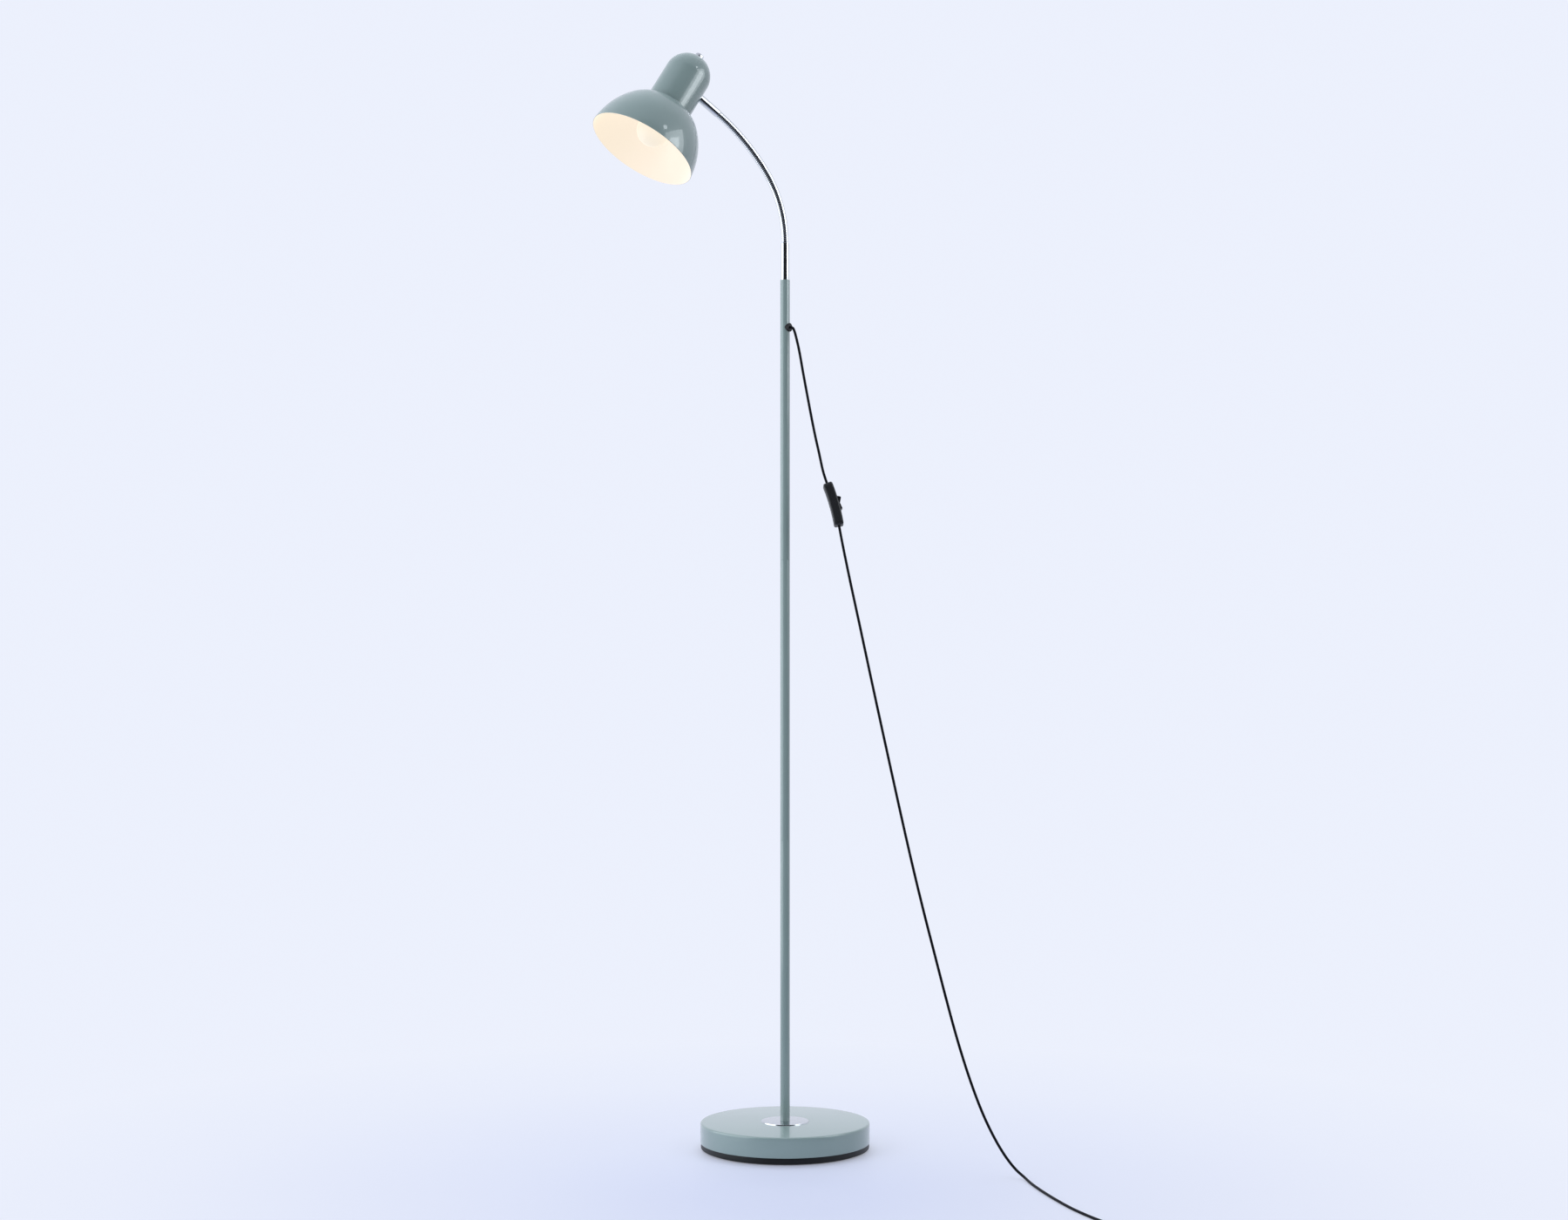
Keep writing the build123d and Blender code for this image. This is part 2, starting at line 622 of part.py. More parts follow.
def core_route(side):
    """A core's way from the cord's end to its terminal, in the head's frame."""
    spread = side * CORE_SPACING / 2
    terminal = side * TERMINAL_OFFSET
    cord_end = CAP_INNER_RADIUS - FERRULE_THREAD_LENGTH - CORD_DIAMETER
    return [
        (spread, cord_end, FERRULE_HEIGHT),
        (spread, cord_end - 2 * CORD_DIAMETER, FERRULE_HEIGHT),
        (terminal, TERMINAL_OFFSET, HOLDER_CAVITY_TOP - HOLDER_CAP_WALL),
        (terminal, TERMINAL_OFFSET + SLIP, BLOCK_TOP + TERMINAL_HEAD_HEIGHT + SEAT),
    ]


def head_cores():
    """The two cores inside the cap, from the cord to the terminals."""
    paths = [FilletPolyline(*core_route(side), radius=CORD_DIAMETER) for side in (-1, 1)]
    return Compound(children=[swept(path, CORE_DIAMETER / 2) for path in paths])


def holder_cap():
    """The lampholder's cap, with a slot that the two cores pass through."""
    inner = HOLDER_RADIUS - HOLDER_CAP_WALL
    blank = rod(HOLDER_RADIUS, HOLDER_SPLIT, HOLDER_TOP)
    blank = fillet(blank.edges().group_by(Axis.Z)[-1], HOLDER_CAP_WALL)
    stud_hole = rod(HOLDER_STUD_DIAMETER / 2 + HOLE, HOLDER_SPLIT, HOLDER_TOP)
    reach = TERMINAL_OFFSET + CORE_DIAMETER
    near = TERMINAL_OFFSET - CORE_DIAMETER
    slot = box((-reach, near, HOLDER_CAVITY_TOP - 1), (reach, HOLDER_BORE_RADIUS, HOLDER_TOP + 1))
    return blank - rod(inner, HOLDER_SPLIT, HOLDER_CAVITY_TOP) - stud_hole - slot


def at_terminals(shape):
    return Compound(children=[Pos(side * TERMINAL_OFFSET, TERMINAL_OFFSET, 0) * shape for side in (-1, 1)])


def contact_block():
    block = rod(HOLDER_BORE_RADIUS - SLIP, BLOCK_BOTTOM, BLOCK_TOP)
    hole = rod(TERMINAL_SHANK_DIAMETER / 2 + SLIP, BLOCK_TOP - TERMINAL_SHANK_LENGTH - SEAT, BLOCK_TOP)
    return block - at_terminals(hole).solids()


def terminal_screws():
    shank = rod(TERMINAL_SHANK_DIAMETER / 2, BLOCK_TOP - TERMINAL_SHANK_LENGTH, BLOCK_TOP)
    head = rod(TERMINAL_HEAD_DIAMETER / 2, BLOCK_TOP, BLOCK_TOP + TERMINAL_HEAD_HEIGHT)
    return at_terminals(shank + head)


def screw_shell():
    inner = SCREW_SHELL_RADIUS - SCREW_SHELL_WALL
    hole = SCREW_SHELL_HOLE / 2
    return turned(
        (inner, SCREW_SHELL_BOTTOM),
        (SCREW_SHELL_RADIUS, SCREW_SHELL_BOTTOM),
        (SCREW_SHELL_RADIUS, BLOCK_BOTTOM),
        (hole, BLOCK_BOTTOM),
        (hole, BLOCK_BOTTOM - SCREW_SHELL_WALL),
        (inner, BLOCK_BOTTOM - SCREW_SHELL_WALL),
    )


def centre_contact():
    """A spring tongue that hangs from the block and bends in over the bulb's tip."""
    low = BULB_TIP_TOP + CONTACT_GAP
    half = CONTACT_WIDTH / 2
    upright = box((CONTACT_REACH - CONTACT_THICKNESS, -half, low), (CONTACT_REACH, half, BLOCK_BOTTOM))
    tongue = box((-half, -half, low), (CONTACT_REACH, half, low + CONTACT_THICKNESS))
    return upright + tongue


# ---------------------------------------------------------------- bulb
def bulb_fill(inset):
    """The globe and its neck, moved in by the inset, as a filled solid of revolution."""
    radius = BULB_DIAMETER / 2 - inset
    neck = BULB_NECK_DIAMETER / 2 - inset
    rise = BULB_NECK_BOTTOM - BULB_CENTRE
    reach = hypot(neck, rise)
    angle = asin(rise / reach) - acos(radius / reach)
    tangent = (radius * cos(angle), BULB_CENTRE + radius * sin(angle))
    neck_line = Polyline(tangent, (neck, BULB_NECK_BOTTOM), (neck, BULB_NECK_TOP), (0, BULB_NECK_TOP))
    globe = CenterArc((0, BULB_CENTRE), radius, -90, 90 + degrees(angle))
    centre_line = Line((0, BULB_NECK_TOP), globe @ 0)
    return revolve(Plane.XZ * make_face([globe, neck_line, centre_line]), Axis.Z)


def bulb_glass():
    return bulb_fill(0) - bulb_fill(BULB_GLASS_WALL)


def bulb_shell():
    inner = BULB_SHELL_RADIUS - BULB_SHELL_WALL
    return turned(
        (inner, BULB_SHELL_BOTTOM),
        (BULB_SHELL_RADIUS, BULB_SHELL_BOTTOM),
        (BULB_SHELL_RADIUS, BULB_SHELL_TOP - BULB_SHELL_WALL),
        (BULB_TIP_DIAMETER, BULB_SHELL_TOP),
        (BULB_TIP_DIAMETER - BULB_SHELL_WALL, BULB_SHELL_TOP - BULB_SHELL_WALL),
        (inner, BULB_SHELL_TOP - 2 * BULB_SHELL_WALL),
    )


def bulb_tip():
    """The insulator and the end contact, which doesn't need to turn with the bulb."""
    tip = BULB_TIP_DIAMETER / 2
    insulator_top = BULB_SHELL_TOP + BULB_INSULATOR_HEIGHT
    insulator = turned(
        (0, BULB_SHELL_TOP + SEAT),
        (BULB_TIP_DIAMETER - BULB_SHELL_WALL, BULB_SHELL_TOP + SEAT),
        (tip, insulator_top),
        (0, insulator_top),
    )
    return Compound(children=[insulator, rod(tip, insulator_top, BULB_TIP_TOP)])


# ---------------------------------------------------------------- cord, where the lamp holds it
def cord_in_pole():
    """From the grommet's face, in through the wall and up the tube to the gooseneck's first hinge."""
    path = Polyline(
        (POLE_RADIUS + GROMMET_STAND_OUT, 0, GROMMET_HEIGHT),
        (ENTRY_BEND, 0, GROMMET_HEIGHT),
    ) + TangentArc((ENTRY_BEND, 0, GROMMET_HEIGHT), (0, 0, GROMMET_HEIGHT + ENTRY_BEND), tangent=(-1, 0, 0))
    path += Line((0, 0, GROMMET_HEIGHT + ENTRY_BEND), (0, 0, NECK_BASE))
    return along_cord(swept(path, CORD_RADIUS))


def cord_in_neck():
    path = neck_path(0, HALF_NECK) + neck_path(HALF_NECK, NECK_LENGTH)
    return swept(path, CORD_RADIUS)


def cord_in_head():
    """Through the upper ferrule to where the cores part."""
    end = CAP_INNER_RADIUS - FERRULE_THREAD_LENGTH - CORD_DIAMETER
    return ferrule_side(rod(CORD_RADIUS, end, HINGE_REACH))


# ---------------------------------------------------------------- switch
def reach_point(reach, height):
    """A point of the vertical plane that the cord hangs in."""
    angle = radians(CORD_AZIMUTH)
    return Vector(reach * cos(angle), reach * sin(angle), height)


def switch_plane():
    """X points out of the rocker's side, Z up along the switch. It is twisted on the cord."""
    lean = radians(SWITCH_LEAN)
    face = radians(SWITCH_FACE)
    up = reach_point(-sin(lean), cos(lean))
    level = Vector(cos(face), sin(face), 0)
    out = level - up * up.dot(level)
    return Plane(origin=reach_point(SWITCH_REACH, SWITCH_HEIGHT), x_dir=out, z_dir=up)


def arch_point(offset, along):
    """(x, z) of a point at a length along the arch and a distance out from its middle."""
    angle = along / SWITCH_ARCH
    radius = SWITCH_ARCH + offset
    return (radius * cos(angle) - SWITCH_ARCH, radius * sin(angle))


def arch_block(low, high, half_length, half_width):
    """A block bent along the switch's arch."""
    outer = ThreePointArc(*[arch_point(high, s) for s in (-half_length, 0, half_length)])
    inner = ThreePointArc(*[arch_point(low, s) for s in (-half_length, 0, half_length)])
    face = make_face([outer, inner, Line(outer @ 0, inner @ 0), Line(outer @ 1, inner @ 1)])
    return Pos(0, half_width, 0) * extrude(Plane.XZ * face, 2 * half_width)


def switch_blank():
    """The two shells together: rounded at the corners, then round both faces, with the cord's holes."""
    block = arch_block(-HALF_SWITCH, HALF_SWITCH, SWITCH_LENGTH / 2, SWITCH_WIDTH / 2)
    corners = [edge for edge in block.edges().filter_by(GeomType.LINE) if abs((edge % 0).Y) < 0.5]
    block = fillet(corners, SWITCH_CORNER_RADIUS)
    rims = [face.edges() for face in block.faces().sort_by(SortBy.AREA)[-2:]]
    return fillet([edge for rim in rims for edge in rim], SWITCH_EDGE_RADIUS) - cord_slots()


def switch_hollow(low, high):
    return arch_block(low, high, SWITCH_LENGTH / 2 - SWITCH_WALL, SWITCH_WIDTH / 2 - SWITCH_WALL)


def between(start, end, radius):
    """A cylinder between two points of the switch's frame."""
    way = end - start
    return Plane(origin=start, x_dir=(1, 0, 0), z_dir=way) * rod(radius, 0, way.length)


def cord_slots():
    """The cord's way in at both ends."""
    ends = [(switch_end(end, CORD_IN_SWITCH), switch_end(end, -SWITCH_WALL)) for end in (-1, 1)]
    return [between(inner, outer, CORD_HOLE_RADIUS) for inner, outer in ends]


def switch_end(end, depth):
    """In the switch's frame: a point on the cord's line, at a depth inside the end face."""
    x, z = arch_point(0, end * SWITCH_LENGTH / 2)
    angle = end * SWITCH_LENGTH / 2 / SWITCH_ARCH
    inward = Vector(sin(angle), 0, -cos(angle)) * end
    return Vector(x, 0, z) + inward * depth


def screw_places():
    along, across = SWITCH_SCREW_PLACE
    return [(side * along, side * across) for side in (-1, 1)]


def switch_pillar(radius, low, high, along, across):
    """A cylinder along X through the switch."""
    return Pos(0, across, along) * Rot(0, 90, 0) * rod(radius, low, high)


def pivot_x():
    return HALF_SWITCH - ROCKER_PIVOT_DEPTH


def switch_front():
    """The shell on the rocker's side, with the rocker's opening and two ears for its pin."""
    half = switch_blank() & arch_block(0, SWITCH_THICKNESS, SWITCH_LENGTH, SWITCH_WIDTH)
    shell = half - switch_hollow(-SEAT, HALF_SWITCH - SWITCH_WALL)
    opening = ROCKER_RADIUS + ROCKER_GAP
    side = ROCKER_WIDTH / 2 + ROCKER_GAP
    floor = HALF_SWITCH - SWITCH_WALL
    for sign in (-1, 1):
        inner = sign * side
        outer = sign * (side + EAR_THICKNESS)
        low = (pivot_x() - EAR_DEPTH, min(inner, outer), -EAR_WIDTH / 2)
        high = (floor + SEAT, max(inner, outer), EAR_WIDTH / 2)
        shell += box(low, high)
    for along, across in screw_places():
        shell += switch_pillar(SWITCH_BOSS_DIAMETER / 2, -sag(along), floor, along, across)
        shell -= switch_pillar(SWITCH_SCREW_DIAMETER / 2, -sag(along), floor - SWITCH_WALL, along, across)
    shell -= box((0, -side, -opening), (SWITCH_THICKNESS, side, opening))
    shell -= rocker_pin_rod(ROCKER_PIN_DIAMETER / 2 + SLIP)
    return shell


def sag(along):
    """How far the arch's middle line lies behind its crown."""
    return SWITCH_ARCH - sqrt(SWITCH_ARCH**2 - along**2)


def switch_back():
    half = switch_blank() & arch_block(-SWITCH_THICKNESS, 0, SWITCH_LENGTH, SWITCH_WIDTH)
    floor = SWITCH_WALL - HALF_SWITCH
    shell = half - switch_hollow(floor, SEAT)
    for along, across in screw_places():
        drop = sag(along)
        head = SWITCH_SCREW_HEAD / 2 + SLIP
        start = floor - SWITCH_WALL / 2 - drop
        shell += switch_pillar(SWITCH_BOSS_DIAMETER / 2, start, -drop - 2 * SEAT, along, across)
        shell -= switch_pillar(SWITCH_SCREW_DIAMETER / 2 + SLIP, -SWITCH_THICKNESS, 0, along, across)
        shell -= switch_pillar(head, -SWITCH_THICKNESS, head_floor(along), along, across)
    return shell


def head_floor(along):
    """Where a screw's head seats, sunk in the back shell."""
    return -HALF_SWITCH - sag(along) + SWITCH_SCREW_HEAD_HEIGHT + SEAT


def switch_screws():
    screws = []
    for along, across in screw_places():
        seat = head_floor(along)
        end = HALF_SWITCH - 3 * SWITCH_WALL
        shank = switch_pillar(SWITCH_SCREW_DIAMETER / 2 - SLIP, seat, end, along, across)
        head = switch_pillar(SWITCH_SCREW_HEAD / 2, seat - SWITCH_SCREW_HEAD_HEIGHT, seat, along, across)
        screws.append(shank + head)
    return Compound(children=screws)


def rocker_pin_rod(radius):
    reach = ROCKER_WIDTH / 2 + ROCKER_GAP + EAR_THICKNESS
    return Pos(pivot_x(), 0, 0) * Rot(90, 0, 0) * rod(radius, -reach, reach)


def rocker():
    """A V-topped key, tipped by its rest angle so that its upper end stands out."""
    drop = ROCKER_PIVOT_DEPTH
    top = ROCKER_PROUD + drop
    bottom = drop - ROCKER_DEPTH
    top_reach = sqrt(ROCKER_RADIUS**2 - top**2)
    bottom_reach = sqrt(ROCKER_RADIUS**2 - bottom**2)
    upper_end = RadiusArc((bottom, bottom_reach), (top, top_reach), ROCKER_RADIUS)
    lower_end = RadiusArc((top, -top_reach), (bottom, -bottom_reach), ROCKER_RADIUS)
    crown = Polyline((top, top_reach), (ROCKER_DIP + drop, 0), (top, -top_reach))
    under = Line((bottom, -bottom_reach), (bottom, bottom_reach))
    face = make_face([upper_end, crown, lower_end, under])
    key = Pos(0, ROCKER_WIDTH / 2, 0) * extrude(Plane.XZ * face, ROCKER_WIDTH)
    bore = Rot(90, 0, 0) * rod(ROCKER_PIN_DIAMETER / 2 + SLIP, -ROCKER_WIDTH, ROCKER_WIDTH)
    return Pos(pivot_x(), 0, 0) * Rot(0, ROCKER_TILT, 0) * (key - bore)


def switch_contacts():
    """Two brass blocks on the floor of the back shell."""
    height, width, length = CONTACT_BLOCK_SIZE
    blocks = []
    for side in (-1, 1):
        x = SWITCH_WALL - HALF_SWITCH + SEAT
        z = side * CONTACT_BLOCK_PLACE
        blocks.append(box((x, -width - SEAT, z - length / 2), (x + height, -SEAT, z + length / 2)))
    return Compound(children=blocks)


def switch_cores():
    """One core runs through, the other ends at the two contacts."""
    ends = {side: switch_end(side, CORD_IN_SWITCH + CORE_CLEARANCE) for side in (-1, 1)}
    spread = Vector(0, CORE_SPACING / 2, 0)
    reach = CONTACT_BLOCK_PLACE + CONTACT_BLOCK_SIZE[2] / 2
    wires = [between(ends[-1] + spread, ends[1] + spread, CORE_DIAMETER / 2)]
    for side in (-1, 1):
        start = ends[side] - spread
        wires.append(between(start, Vector(start.X, start.Y, side * reach), CORE_DIAMETER / 2))
    return Compound(children=wires)


# ---------------------------------------------------------------- free cord
def bend_radii(points):
    """The largest arc that the two runs at each point allow."""
    radii = []
    for before, here, after in zip(points, points[1:], points[2:]):
        turn = (here - before).get_angle(after - here)
        shorter = min((here - before).length, (after - here).length)
        radii.append(RUN_SHARE * shorter / tan(radians(turn) / 2))
    return radii


def cord_tube(name, points):
    """A round tube along straight runs joined by tangent arcs. Prints its figures."""
    radii = bend_radii(points)
    path = FilletPolyline(*points, radius=radii)
    solid = swept(path, CORD_RADIUS)
    expected = pi * CORD_RADIUS**2 * path.length
    print(name, "length", round(path.length, 1), "volume share", round(solid.volume / expected, 4))
    print(name, "radii", [round(radius) for radius in radii])
    return solid


def cord_upper():
    """From the grommet to the switch, in the cord's plane, as (reach, share of the drop to the switch)."""
    hanging = [(12.2, 0.0), (15.2, 0.0223), (18.2, 0.0621), (23.0, 0.1365), (29.0, 0.2607)]
    hanging += [(37.5, 0.4220), (46.4, 0.5875), (54.9, 0.7199)]
    drop = GROMMET_HEIGHT - SWITCH_HEIGHT
    points = [reach_point(reach, GROMMET_HEIGHT - share * drop) for reach, share in hanging]
    start = reach_point(POLE_RADIUS + GROMMET_STAND_OUT, GROMMET_HEIGHT)
    return [start] + points + at_switch(1)


def at_switch(end):
    """The cord's last two points at one end of the switch, from the outside in."""
    local = [switch_end(end, -STRAIGHT_AT_SWITCH), switch_end(end, CORD_IN_SWITCH)]
    return [switch_plane().from_local_coords(point) for point in local]


def cord_lower():
    """From the switch down to the floor, and over it to the coil."""
    hanging = [(101.7, 775.0), (115.7, 720.0), (129.4, 665.0), (143.2, 610.0), (157.2, 555.0)]
    hanging += [(171.3, 500.0), (185.5, 445.0), (200.2, 390.0), (215.8, 335.0), (232.4, 280.0)]
    hanging += [(248.9, 225.0), (266.3, 170.0), (284.8, 120.0), (303.4, 78.0), (321.4, 47.0), (336.8, 26.0)]
    floor = [(316.2, 154.2, 10.6), (331.8, 157.6, 2.8), (358.0, 146.8, 1.9), (384.8, 137.0, 1.9)]
    floor += [(412.0, 127.7, 1.9), (453.0, 115.0, 1.9), (503.0, 101.4, 1.9), (552.0, 92.8, 1.9)]
    lead = coil_path()[0]
    last = [lead @ 0 - (lead % 0) * STRAIGHT_AT_COIL, lead @ 0]
    start = at_switch(-1)[::-1]
    return start + [reach_point(*point) for point in hanging] + [Vector(*point) for point in floor] + last


def plug_plane():
    """Z points from the cord to the pins, X up."""
    turn = radians(PLUG_AZIMUTH)
    origin = Vector(*PLUG_PLACE, PLUG_THICKNESS / 2)
    return Plane(origin=origin, x_dir=(0, 0, 1), z_dir=(cos(turn), sin(turn), 0))


def cord_tail():
    """From the top of the coil to the plug beside it."""
    lead = coil_path()[-1]
    first = [lead @ 1, lead @ 1 + (lead % 1) * 2 * CORD_DIAMETER]
    loose = [(635.0, 25.0, 4.2), (637.0, 8.0, 3.4)]
    plug = plug_plane()
    last = plug.origin - plug.z_dir * 3 * CORD_DIAMETER
    return first + [Vector(*point) for point in loose] + [last, plug.origin]


def coil_plane():
    """X points from the coil's middle to where the cord comes in."""
    heading = radians(COIL_HEADING)
    out = Vector(-sin(heading), cos(heading), 0)
    return Plane(origin=Vector(*COIL_ENTRY, 0) - out * COIL_RADIUS, x_dir=out, z_dir=(0, 0, 1))


def half_turn(start, end, heading, height):
    """Half a turn of the spiral, level, between two points on the X axis."""
    return TangentArc((start, 0, height), (end, 0, height), tangent=(0, heading, 0))


def coil_path():
    """Clockwise from above: in over two turns, up a layer in half a turn, and out again."""
    step = COIL_PITCH / 2
    low, high = COIL_HEIGHT, COIL_TOP_HEIGHT
    edges = [Line((COIL_RADIUS, CORD_DIAMETER, low), (COIL_RADIUS, 0, low))]
    radius = COIL_RADIUS
    side = 1
    for turn in range(HALF_TURNS_DOWN):
        edges.append(half_turn(side * radius, -side * (radius - step), -side, low))
        radius -= step
        side = -side
    crest = (0, -side * sqrt(radius**2 + (COIL_RISE / 2) ** 2), (low + high) / 2)
    climb = TangentArc((side * radius, 0, low), crest, tangent=(0, -side, 0))
    edges.append(climb)
    edges.append(TangentArc(crest, (-side * radius, 0, high), tangent=climb % 1))
    side = -side
    for turn in range(HALF_TURNS_UP):
        edges.append(half_turn(side * radius, -side * (radius + step), -side, high))
        radius += step
        side = -side
    middle = -side * step / 2
    last = (middle, -side * (radius + step / 2), high)
    edges.append(TangentArc((side * radius, 0, high), last, tangent=(0, -side, 0)))
    edges.append(Line(last, (last[0] - side * CORD_DIAMETER, last[1], high)))
    return [coil_plane() * edge for edge in edges]


def least_gap(edges):
    """The smallest distance between two turns' surfaces, measured on points."""
    spacing = 1.0
    points = []
    for edge in edges:
        count = ceil(edge.length / spacing)
        points += [edge @ (index / count) for index in range(count)]
    skip = ceil(4 * CORD_DIAMETER / spacing)
    pairs = [(points[i] - points[j]).length for i in range(len(points)) for j in range(i + skip, len(points))]
    return min(pairs) - CORD_DIAMETER


def cord_coil():
    edges = coil_path()
    path = Wire(edges)
    solid = swept(path, CORD_RADIUS)
    expected = pi * CORD_RADIUS**2 * path.length
    print("coil length", round(path.length, 1), "volume share", round(solid.volume / expected, 4))
    print("coil least gap", round(least_gap(edges), 2))
    return solid


def coil_tie():
    """A flat band round all the turns, on the side where the cord neither comes in nor leaves."""
    outer_turn = COIL_RADIUS - COIL_PITCH * 3 / 4
    inner_turn = COIL_RADIUS - COIL_PITCH * (HALF_TURNS_DOWN - 1 / 2) / 2
    bulge = inner_turn - sqrt(inner_turn**2 - (TIE_WIDTH / 2 + COIL_PITCH / 4) ** 2)
    away = CORD_RADIUS + TIE_CLEARANCE
    low = (-TIE_WIDTH / 2, inner_turn - bulge - away, COIL_HEIGHT - away)
    high = (TIE_WIDTH / 2, outer_turn + away, COIL_TOP_HEIGHT + away)
    wall = TIE_THICKNESS
    outside = box((low[0], low[1] - wall, low[2] - wall), (high[0], high[1] + wall, high[2] + wall))
    outside = fillet(outside.edges().filter_by(Axis.X), wall)
    return coil_plane() * (outside - box((low[0] - wall, *low[1:]), (high[0] + wall, *high[1:])))


# ---------------------------------------------------------------- plug
def plug_section(size, height):
    width, thickness = size
    corner = min(PLUG_CORNER, thickness / 2 - SEAT)
    return Pos(0, 0, height) * RectangleRounded(thickness, width, corner)


def plug_body():
    """The moulded body with its tapered strain relief."""
    rear = RELIEF_LENGTH
    front = RELIEF_LENGTH + PLUG_LENGTH
    sections = [
        plug_section(PLUG_REAR, rear),
        plug_section(PLUG_MIDDLE, rear + PLUG_LENGTH / 3),
        plug_section((PLUG_WIDTH, PLUG_THICKNESS), rear + PLUG_LENGTH * 2 / 3),
        plug_section((PLUG_WIDTH, PLUG_THICKNESS), front),
    ]
    body = loft(sections, ruled=True)
    small, large = (diameter / 2 for diameter in RELIEF_DIAMETERS)
    relief = turned((0, 0), (small, 0), (large, rear + 1), (0, rear + 1))
    holes = pin_pair(PIN_ROOT_DIAMETER / 2 + SLIP, front - PIN_ROOT_LENGTH - SEAT, front + PIN_LENGTH)
    return plug_plane() * (body + relief - holes)


def pin_pair(radius, low, high):
    return [Pos(0, side * PIN_SPACING / 2, 0) * rod(radius, low, high) for side in (-1, 1)]


def plug_pins():
    """Round pins with tapered tips, on wider roots that the body is moulded round."""
    front = RELIEF_LENGTH + PLUG_LENGTH
    roots = pin_pair(PIN_ROOT_DIAMETER / 2, front - PIN_ROOT_LENGTH, front)
    pins = []
    for root, pin in zip(roots, pin_pair(PIN_DIAMETER / 2, front, front + PIN_LENGTH + PIN_TIP)):
        pins.append(root + chamfer(pin.edges().group_by(Axis.Z)[-1], PIN_TIP))
    return plug_plane() * Compound(children=pins)


# ---------------------------------------------------------------- all nodes
def in_head(shape):
    return HEAD_PLANE * shape


def in_switch(shape):
    return switch_plane() * shape


def nodes():
    """Every node's name and solid."""
    parts = {
        "base_pad": base_pad(),
        "base_tray": base_tray(),
        "base_weight": base_weight(),
        "base_cover": base_cover(),
        "clamp_stud": clamp_stud(),
        "clamp_nut": clamp_nut(),
        "clamp_washer": clamp_washer(),
        "foot_disc": foot_disc(),
        "tube_insert": tube_insert(),
        "pole_lower": pole_section(0),
        "pole_middle": pole_section(1),
        "pole_upper": pole_section(2) - grommet_hole(),
        "pole_couplings": pole_couplings(),
        "grommet": grommet(),
        "lower_ferrule": lower_ferrule(),
    }
    for index in range(NECK_SEGMENTS):
        parts[f"neck_{index + 1}"] = neck_segment(index)
    head = {
        "upper_ferrule": upper_ferrule(),
        "saddle_washer": saddle_washer(),
        "lock_nut": lock_nut(),
        "shade": shade(),
        "cap_shell": cap_shell(),
        "finial_nut": finial_nut(),
        "holder_stud": holder_stud(),
        "shade_ring": shade_ring(),
        "holder_body": holder_body(),
        "holder_cap": holder_cap(),
        "contact_block": contact_block(),
        "terminal_screws": terminal_screws(),
        "screw_shell": screw_shell(),
        "centre_contact": centre_contact(),
        "head_cores": head_cores(),
        "cord_in_head": cord_in_head(),
        "bulb_glass": bulb_glass(),
        "bulb_shell": bulb_shell(),
        "bulb_tip": bulb_tip(),
    }
    parts.update({name: in_head(shape) for name, shape in head.items()})
    switch = {
        "switch_front": switch_front(),
        "switch_back": switch_back(),
        "switch_screws": switch_screws(),
        "switch_contacts": switch_contacts(),
        "switch_cores": switch_cores(),
        "rocker": rocker(),
        "rocker_pin": rocker_pin_rod(ROCKER_PIN_DIAMETER / 2),
    }
    parts.update({name: in_switch(shape) for name, shape in switch.items()})
    parts["cord_in_pole"] = cord_in_pole()
    parts["cord_in_neck"] = cord_in_neck()
    parts["cord_upper"] = cord_tube("cord_upper", cord_upper())
    parts["cord_lower"] = cord_tube("cord_lower", cord_lower())
    parts["cord_coil"] = cord_coil()
    parts["cord_tail"] = cord_tube("cord_tail", cord_tail())
    parts["coil_tie"] = coil_tie()
    parts["plug_body"] = plug_body()
    parts["plug_pins"] = plug_pins()
    return parts


os.makedirs("parts", exist_ok=True)
for node, solid in nodes().items():
    export_step(solid, f"parts/{node}.step")
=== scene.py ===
"""Dresses a packed gooseneck floor lamp. It is laid out as an add-on and run as a script."""

import math

import bmesh
import bpy
from bpy.props import FloatProperty, FloatVectorProperty, IntProperty, PointerProperty
from mathutils import Matrix, Vector


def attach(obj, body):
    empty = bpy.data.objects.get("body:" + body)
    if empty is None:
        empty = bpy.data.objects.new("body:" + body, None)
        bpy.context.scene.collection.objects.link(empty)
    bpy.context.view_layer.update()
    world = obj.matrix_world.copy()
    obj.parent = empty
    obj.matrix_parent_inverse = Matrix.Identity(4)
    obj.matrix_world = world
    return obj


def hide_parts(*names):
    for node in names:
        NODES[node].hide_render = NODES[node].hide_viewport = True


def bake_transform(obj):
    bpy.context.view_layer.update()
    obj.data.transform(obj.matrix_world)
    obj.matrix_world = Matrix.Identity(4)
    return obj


bl_info = {
    "name": "Gooseneck floor lamp",
    "version": (1, 0, 0),
    "blender": (4, 5, 0),
    "location": "View3D > Sidebar > Lamp",
    "description": "Builds the visible pieces of a gooseneck floor lamp round its packed parts",
    "category": "Object",
}

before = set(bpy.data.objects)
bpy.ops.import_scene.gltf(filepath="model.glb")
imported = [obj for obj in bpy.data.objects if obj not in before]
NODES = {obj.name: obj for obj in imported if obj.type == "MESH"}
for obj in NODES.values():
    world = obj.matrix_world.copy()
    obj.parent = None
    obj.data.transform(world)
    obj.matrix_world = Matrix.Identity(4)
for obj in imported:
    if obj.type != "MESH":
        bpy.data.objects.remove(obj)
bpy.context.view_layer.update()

# ---------------------------------------------------------------- sizes, in metres
BASE_RADIUS = 0.115
BASE_TOP = 0.0370
COVER_EDGE = 0.0097  # underside of the painted cover
COVER_INNER_RADIUS = 0.1138
COVER_INNER_TOP = 0.0358
STUD_HOLE = 0.0043
TRAY_BOTTOM = 0.0015
TRAY_FLOOR = 0.0035
TRAY_RADIUS = 0.1142
